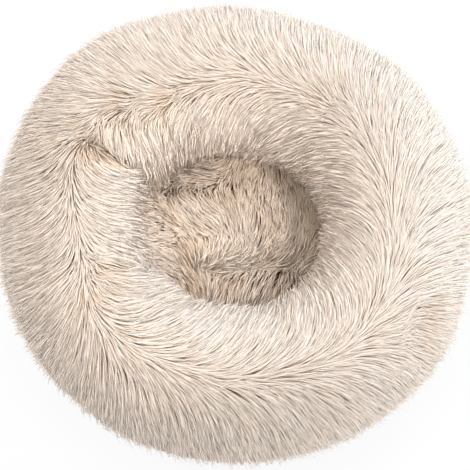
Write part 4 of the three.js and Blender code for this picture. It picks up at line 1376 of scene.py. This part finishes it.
class CATBED_OT_band(bpy.types.Operator):
    """Make the closing band round the foot of the rim and the binding of the nest seam"""

    bl_idname = "catbed.band"
    bl_label = "Bands"

    def execute(self, context):
        # Woven polyester band: matt and paler than the base
        cloth = cloth_material("twill_band", "#c9b8a2", "#e2d5c3", 0.8, 0.85)
        half = TAPE_THICKNESS / 2
        ends = ZIP_TURN / 2 + ZIP_END_TURN + math.degrees(BAND_GAP / BAND_MIDDLE[0])
        section = [band_point(TAPE_EDGE * x, half * y) for x, y in BAND_SECTION]
        span = (ZIP_MIDDLE_ANGLE + ends, ZIP_MIDDLE_ANGLE - ends + 360)
        band = swept("hem_band", section, cloth, span=span, steps=BAND_STEPS)
        turns = np.arange(span[0] + 1, span[1] - 1, STITCH_TURN)
        seams = []
        for name, side in SIDES:
            place = band_point(side * (TAPE_EDGE - SEAM_MARGIN), half)
            seams.append(stitches_along(f"band_stitches_{name}", place, turns, BAND_OUT))
        seated([band, *seams], "seam_cloth", "closing_band")

        low, high = (np.array(v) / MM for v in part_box("nest_seam_binding"))
        outer, inner = high[0], high[0] - BINDING_WIDTH
        middle, top = (outer + inner) / 2, high[2] - BINDING_WIDTH / 2
        angles, half = np.linspace(0, math.pi, FOLD_POINTS), BINDING_WIDTH / 2
        fold = [(middle + half * math.cos(a), top + half * math.sin(a)) for a in angles]
        section = [(inner, low[2]), (outer, low[2]), *fold]
        binding = swept("nest_binding", section, cloth, steps=BASE_STEPS)
        seated([binding], "seam_cloth", "nest_seam_binding")
        return {"FINISHED"}


# A tooth of the upper half stands a quarter of the pitch on, one of the lower half three quarters. Across the
# chain its neck ends and its head begins here, and the head's corners and edges are cut by so much.
TOOTH_STARTS = {"upper": 0.25, "lower": 0.75}
NECK_END, HEAD_START, HEAD_CORNER, TOOTH_EDGE = 0.5, -0.3, 0.3, 0.25
BEAD_ANGLES = (-140, -90, -45, 0, 45, 90, 140)
TAPE_STEPS = 60
STOP_EDGE, SLIDER_EDGE, PULL_EDGE = 0.12, 0.25, 0.3


class CATBED_OT_zip(bpy.types.Operator):
    """Make the zip: tapes, moulded teeth, stops, slider and pull"""

    bl_idname = "catbed.zip"
    bl_label = "Zip"

    def execute(self, context):
        # Dense woven tape, acetal teeth and die-cast zinc: matt cream, satin cream and bright grey
        tape_cloth = cloth_material("zip_tape", "#d8ccba", "#ece3d5", 0.6, 0.8)
        resin = plain_material("acetal_resin", "#e4dac9", "#ece3d4", 3.0, 0.01, 0.35)
        metal = plain_material("plated_zinc", "#a8a39a", "#c4bfb6", 0.8, 0.01, 0.3, Metallic=0.95)
        bead, half = TOOTH_THICKNESS / 2, TAPE_THICKNESS / 2
        span = (ZIP_START - ZIP_END_TURN, ZIP_START + ZIP_TURN + ZIP_END_TURN)
        root, tip = TOOTH_REACH + BEAD_WIDTH / 2, TOOTH_CLEARANCE - TOOTH_REACH
        cord = [(root - BEAD_WIDTH / 2 * math.cos(a), bead * math.sin(a)) for a in np.radians(BEAD_ANGLES)]
        tape_outline = [*cord, (TAPE_EDGE, half), (TAPE_EDGE, -half)]
        neck, wide = TOOTH_ROOT_WIDTH / 2, TOOTH_TIP_WIDTH / 2
        cheek = [(neck, root), (neck, NECK_END), (wide, HEAD_START)]
        cheek += [(wide, tip + HEAD_CORNER), (wide - HEAD_CORNER, tip)]
        tooth_outline = [(-x, y) for x, y in cheek] + cheek[::-1]
        for name, side in SIDES:
            section = [band_point(side * y, z) for y, z in tape_outline]
            tape = swept(f"zip_tape_{name}", section, tape_cloth, span=span, steps=TAPE_STEPS)
            tooth = plate_model("tooth_model", tooth_outline, bead - TOOTH_CLEARANCE, TOOTH_EDGE)
            along = (np.arange(TOOTH_PAIRS) + TOOTH_STARTS[name]) * TOOTH_PITCH
            turns = ZIP_START + np.degrees(along / BAND_MIDDLE[0])
            # A tooth of the lower half is turned half round
            places = round_places(band_point(0, 0), turns, BAND_OUT, side)
            teeth = repeated(f"zip_teeth_{name}", tooth, places, resin)
            seam = np.arange(span[0] + 0.5, span[1] - 0.5, STITCH_TURN)
            place = band_point(side * (TAPE_EDGE - SEAM_MARGIN), half)
            stitches = stitches_along(f"zip_stitches_{name}", place, seam, BAND_OUT)
            seated([tape, teeth, stitches], "zip_chain", f"zip_half_{name}")
        for node in ("zip_top_stop_upper", "zip_top_stop_lower", "zip_bottom_stop"):
            seated([refined(node, f"{node}_clip", metal, STOP_EDGE)], "zip_metal", node)
        slider = refined("zip_slider", "slider_body", metal, SLIDER_EDGE)
        seated([slider], "zip_metal", "zip_slider", body="zip_slider")
        seated([refined("zip_pull", "pull_tab", metal, PULL_EDGE)], "zip_metal", "zip_pull", body="zip_pull")
        return {"FINISHED"}


RING_STEP, RING_STEPS = 5, 120
PAD_RINGS, PAD_STEPS = 16, 96


class CATBED_OT_stuffing(bpy.types.Operator):
    """Make the ring bag, the pad bag and the fibre inside them"""

    bl_idname = "catbed.stuffing"
    bl_label = "Stuffing"

    def execute(self, context):
        # Bonded polypropylene and loose hollow fibre: papery white, and white wool without threads
        bag = plain_material("non_woven_cloth", "#e4e1da", "#f6f4ef", 1.5, 0.15, 0.95)
        fibre = plain_material("polyester_fibre", "#ededed", "#ffffff", 0.8, 0.6, 1.0, Sheen_Weight=0.4)

        def ring(depth):
            """Section of the ring bag or what lies in it, which stands back from the zip."""
            angles = np.arange(BAND_UPPER_ANGLE, BASE_MARGIN_ANGLE + 1, RING_STEP)
            skin = [skin_section(a, -BACKING - SEAT - depth)[:2] for a in angles]
            return skin + [band_point(across, -BAG_ROOM - depth) for across in (-SLIDER_ROOM, SLIDER_ROOM)]

        rim_bag = swept("ring_bag", ring(0), bag, steps=RING_STEPS)
        rim_fill = swept("ring_fibre", ring(LINING + SEAT), fibre, steps=RING_STEPS)
        low, high = (np.array(v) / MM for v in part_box("pad_bag_lower"))
        bottom, radius = low[2], high[0]
        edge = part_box("pad_bag_upper")[0][2] / MM

        def pad(depth):
            """Section of the pad bag or what lies in it, before its top takes the floor's folds."""
            rings = np.linspace(0, radius - depth, PAD_RINGS)
            roof = [(r, edge + FLOOR_CROWN * (1 - (r / radius) ** 2) - depth) for r in rings]
            return [(r, bottom + depth) for r in rings] + roof[::-1]

        pad_bag = swept("pad_bag", pad(0), bag, steps=PAD_STEPS)
        pad_fill = swept("pad_fibre", pad(LINING + SEAT), fibre, steps=PAD_STEPS)
        for piece, depth in ((pad_bag, 0), (pad_fill, LINING + SEAT)):
            for vertex in piece.data.vertices:
                x, y, z = vertex.co / MM
                roof = float(floor_height(x, y)) - BACKING - 2 * SEAT - depth
                vertex.co.z = min(z, max(roof, bottom + depth)) * MM
        for piece in (rim_bag, rim_fill, pad_bag, pad_fill):
            crumple(piece, piece in (rim_bag, rim_fill))
        seated([rim_bag], "bag_cloth", "rim_bag_upper", "rim_bag_lower", fill=RIM_FILL)
        seated([rim_fill], "fibre_fill", "rim_fibre_fill", fill=RIM_FILL)
        seated([pad_bag], "bag_cloth", "pad_bag_upper", "pad_bag_lower", fill=PAD_FILL)
        seated([pad_fill], "fibre_fill", "pad_fibre_fill", fill=PAD_FILL)
        return {"FINISHED"}


def crumple(piece, in_rim):
    """Soft wrinkles that only go inwards, so that a bag keeps clear of what is round it."""
    normals = vertex_normals(piece)
    places = np.array([v.co for v in piece.data.vertices])
    out = -CRUMPLE * sum(share * np.abs(lumps(places, size, 1, 0)) for size, share in WRINKLES)
    if in_rim:
        # In the rim a bag bulges with the stuffing and is drawn in at the closing seam
        pull, _ = seam_pull(np.degrees(np.arctan2(places[:, 1], places[:, 0])))
        out = out + stuffing(places) - SWELL_ROOM - SEAM_DEPTH * pull
        out = out * np.clip(places[:, 2] / MM - EVEN_HEIGHT, 0, CRUMPLE_RISE) / CRUMPLE_RISE
    for vertex, normal, far in zip(piece.data.vertices, normals, out):
        vertex.co += Vector(normal) * float(far) * MM


# The view's middle, and the lamps round it, in m: place, power in W, size and colour
VIEW_MIDDLE = (-1 * MM, -12.5 * MM, BED_HEIGHT / 2 * MM)
SENSOR_WIDTH = 36
AREA_LAMPS = (
    ("key_lamp", (1.2, 1.05, 0.85), 22, 1.2, (0.72, 0.86, 1.0)),
    ("top_lamp", (-0.6, 0.45, 1.65), 14.5, 1.8, (1, 1, 1)),
    ("side_lamp", (1.4, -0.7, 0.3), 9, 0.8, (0.92, 0.97, 1.0)),
    ("rear_lamp", (-1.2, 1.1, 0.5), 5, 0.8, (1, 1, 1)),
)

# Two spots reach into the nest, on its back wall and on its floor from over the right lip: place, power,
# width in degrees, and what they look at
SPOT_LAMPS = (
    ("wall_lamp", (-0.55, -1.65, 1.05), 110, 8.5, (-0.01, 0.1, 0.1)),
    ("nest_lamp", (0.85, -0.32, 1.45), 100, 9.5, (-0.055, 0.015, 0.055)),
)
SPOT_BLEND, SPOT_SOFTNESS = 1, 0.08

# The stage's floor, matt to the light and white to the camera, and the world's strength
STAGE_SIZE = 4
STAGE_GREY, STAGE_WHITE_SHARE = 0.85, 0.9
WORLD_STRENGTH = 0.8


def add_lamp(name, kind, place, aim, power, **settings):
    """A lamp that looks at a point."""
    lamp = bpy.data.lights.new(name, kind)
    lamp.energy = power
    for key, value in settings.items():
        setattr(lamp, key, value)
    stand = bpy.data.objects.new(name, lamp)
    bpy.context.scene.collection.objects.link(stand)
    stand.location = place
    stand.rotation_euler = (Vector(aim) - Vector(place)).to_track_quat("-Z", "Y").to_euler()


class CATBED_OT_stage(bpy.types.Operator):
    """Set the camera, the lamps and the pale floor"""

    bl_idname = "catbed.stage"
    bl_label = "Stage"

    def execute(self, context):
        settings = context.scene.catbed_stage
        scene = context.scene
        scene.view_settings.view_transform = "Standard"
        camera = bpy.data.cameras.new("camera")
        camera.lens = settings.lens
        camera.sensor_width = SENSOR_WIDTH
        stand = bpy.data.objects.new("camera", camera)
        scene.collection.objects.link(stand)
        a, e = math.radians(settings.azimuth), math.radians(settings.elevation)
        away = Vector((math.sin(a) * math.cos(e), -math.cos(a) * math.cos(e), math.sin(e)))
        stand.location = Vector(VIEW_MIDDLE) + away * settings.distance
        stand.rotation_euler = away.to_track_quat("Z", "Y").to_euler()
        scene.camera = stand

        corners = [(x * STAGE_SIZE, y * STAGE_SIZE, 0) for x, y in ((-1, -1), (1, -1), (1, 1), (-1, 1))]
        floor = mesh_object("stage_floor", corners, [(0, 1, 2, 3)])
        material = bpy.data.materials.new("stage_white")
        material.use_nodes = True
        tree = material.node_tree
        tree.nodes.clear()
        seen = add_node(tree, "ShaderNodeLightPath").outputs["Is Camera Ray"]
        share = add_node(tree, MATH, [seen, STAGE_WHITE_SHARE], operation="MULTIPLY")
        matt = add_node(tree, "ShaderNodeBsdfDiffuse", {"Color": (STAGE_GREY, STAGE_GREY, STAGE_GREY, 1)})
        glow = add_node(tree, "ShaderNodeEmission", {"Color": (1, 1, 1, 1), "Strength": 1.0})
        both = add_node(tree, "ShaderNodeMixShader", [share, matt, glow])
        add_node(tree, "ShaderNodeOutputMaterial", {"Surface": both})
        floor.data.materials.append(material)

        world = bpy.data.worlds.new("studio")
        scene.world = world
        world.use_nodes = True
        world.node_tree.nodes.clear()
        sky = {"Color": (1, 1, 1, 1), "Strength": WORLD_STRENGTH}
        sky = add_node(world.node_tree, "ShaderNodeBackground", sky)
        add_node(world.node_tree, "ShaderNodeOutputWorld", {"Surface": sky})
        for name, place, power, size, colour in AREA_LAMPS:
            add_lamp(name, "AREA", place, VIEW_MIDDLE, power, size=size, color=colour)
        spot = {"spot_blend": SPOT_BLEND, "shadow_soft_size": SPOT_SOFTNESS}
        for name, place, power, width, aim in SPOT_LAMPS:
            add_lamp(name, "SPOT", place, aim, power, spot_size=math.radians(width), **spot)
        return {"FINISHED"}


class CATBED_PT_panel(bpy.types.Panel):
    """Buttons that build the bed"""

    bl_label = "Cat bed"
    bl_idname = "CATBED_PT_panel"
    bl_space_type = "VIEW_3D"
    bl_region_type = "UI"
    bl_category = "Cat bed"

    def draw(self, context):
        for operator in OPERATORS:
            self.layout.operator(operator.bl_idname)


OPERATORS = (
    CATBED_OT_stage,
    CATBED_OT_rim,
    CATBED_OT_nest,
    CATBED_OT_base,
    CATBED_OT_band,
    CATBED_OT_zip,
    CATBED_OT_stuffing,
)
GROUPS = (CATBED_PG_fur, CATBED_PG_colours, CATBED_PG_stage)


def register():
    """Add the classes and the scene's settings"""
    for kind in (*GROUPS, *OPERATORS, CATBED_PT_panel):
        bpy.utils.register_class(kind)
    bpy.types.Scene.catbed_fur = PointerProperty(type=CATBED_PG_fur)
    bpy.types.Scene.catbed_colours = PointerProperty(type=CATBED_PG_colours)
    bpy.types.Scene.catbed_stage = PointerProperty(type=CATBED_PG_stage)


def unregister():
    """Take the settings and the classes away again"""
    del bpy.types.Scene.catbed_stage
    del bpy.types.Scene.catbed_colours
    del bpy.types.Scene.catbed_fur
    for kind in reversed((*GROUPS, *OPERATORS, CATBED_PT_panel)):
        bpy.utils.unregister_class(kind)


def main():
    """Build the bed"""
    register()
    bpy.ops.catbed.stage()
    bpy.ops.catbed.rim()
    bpy.ops.catbed.nest()
    bpy.ops.catbed.base()
    bpy.ops.catbed.band()
    bpy.ops.catbed.zip()
    bpy.ops.catbed.stuffing()


if __name__ == "__main__":
    main()
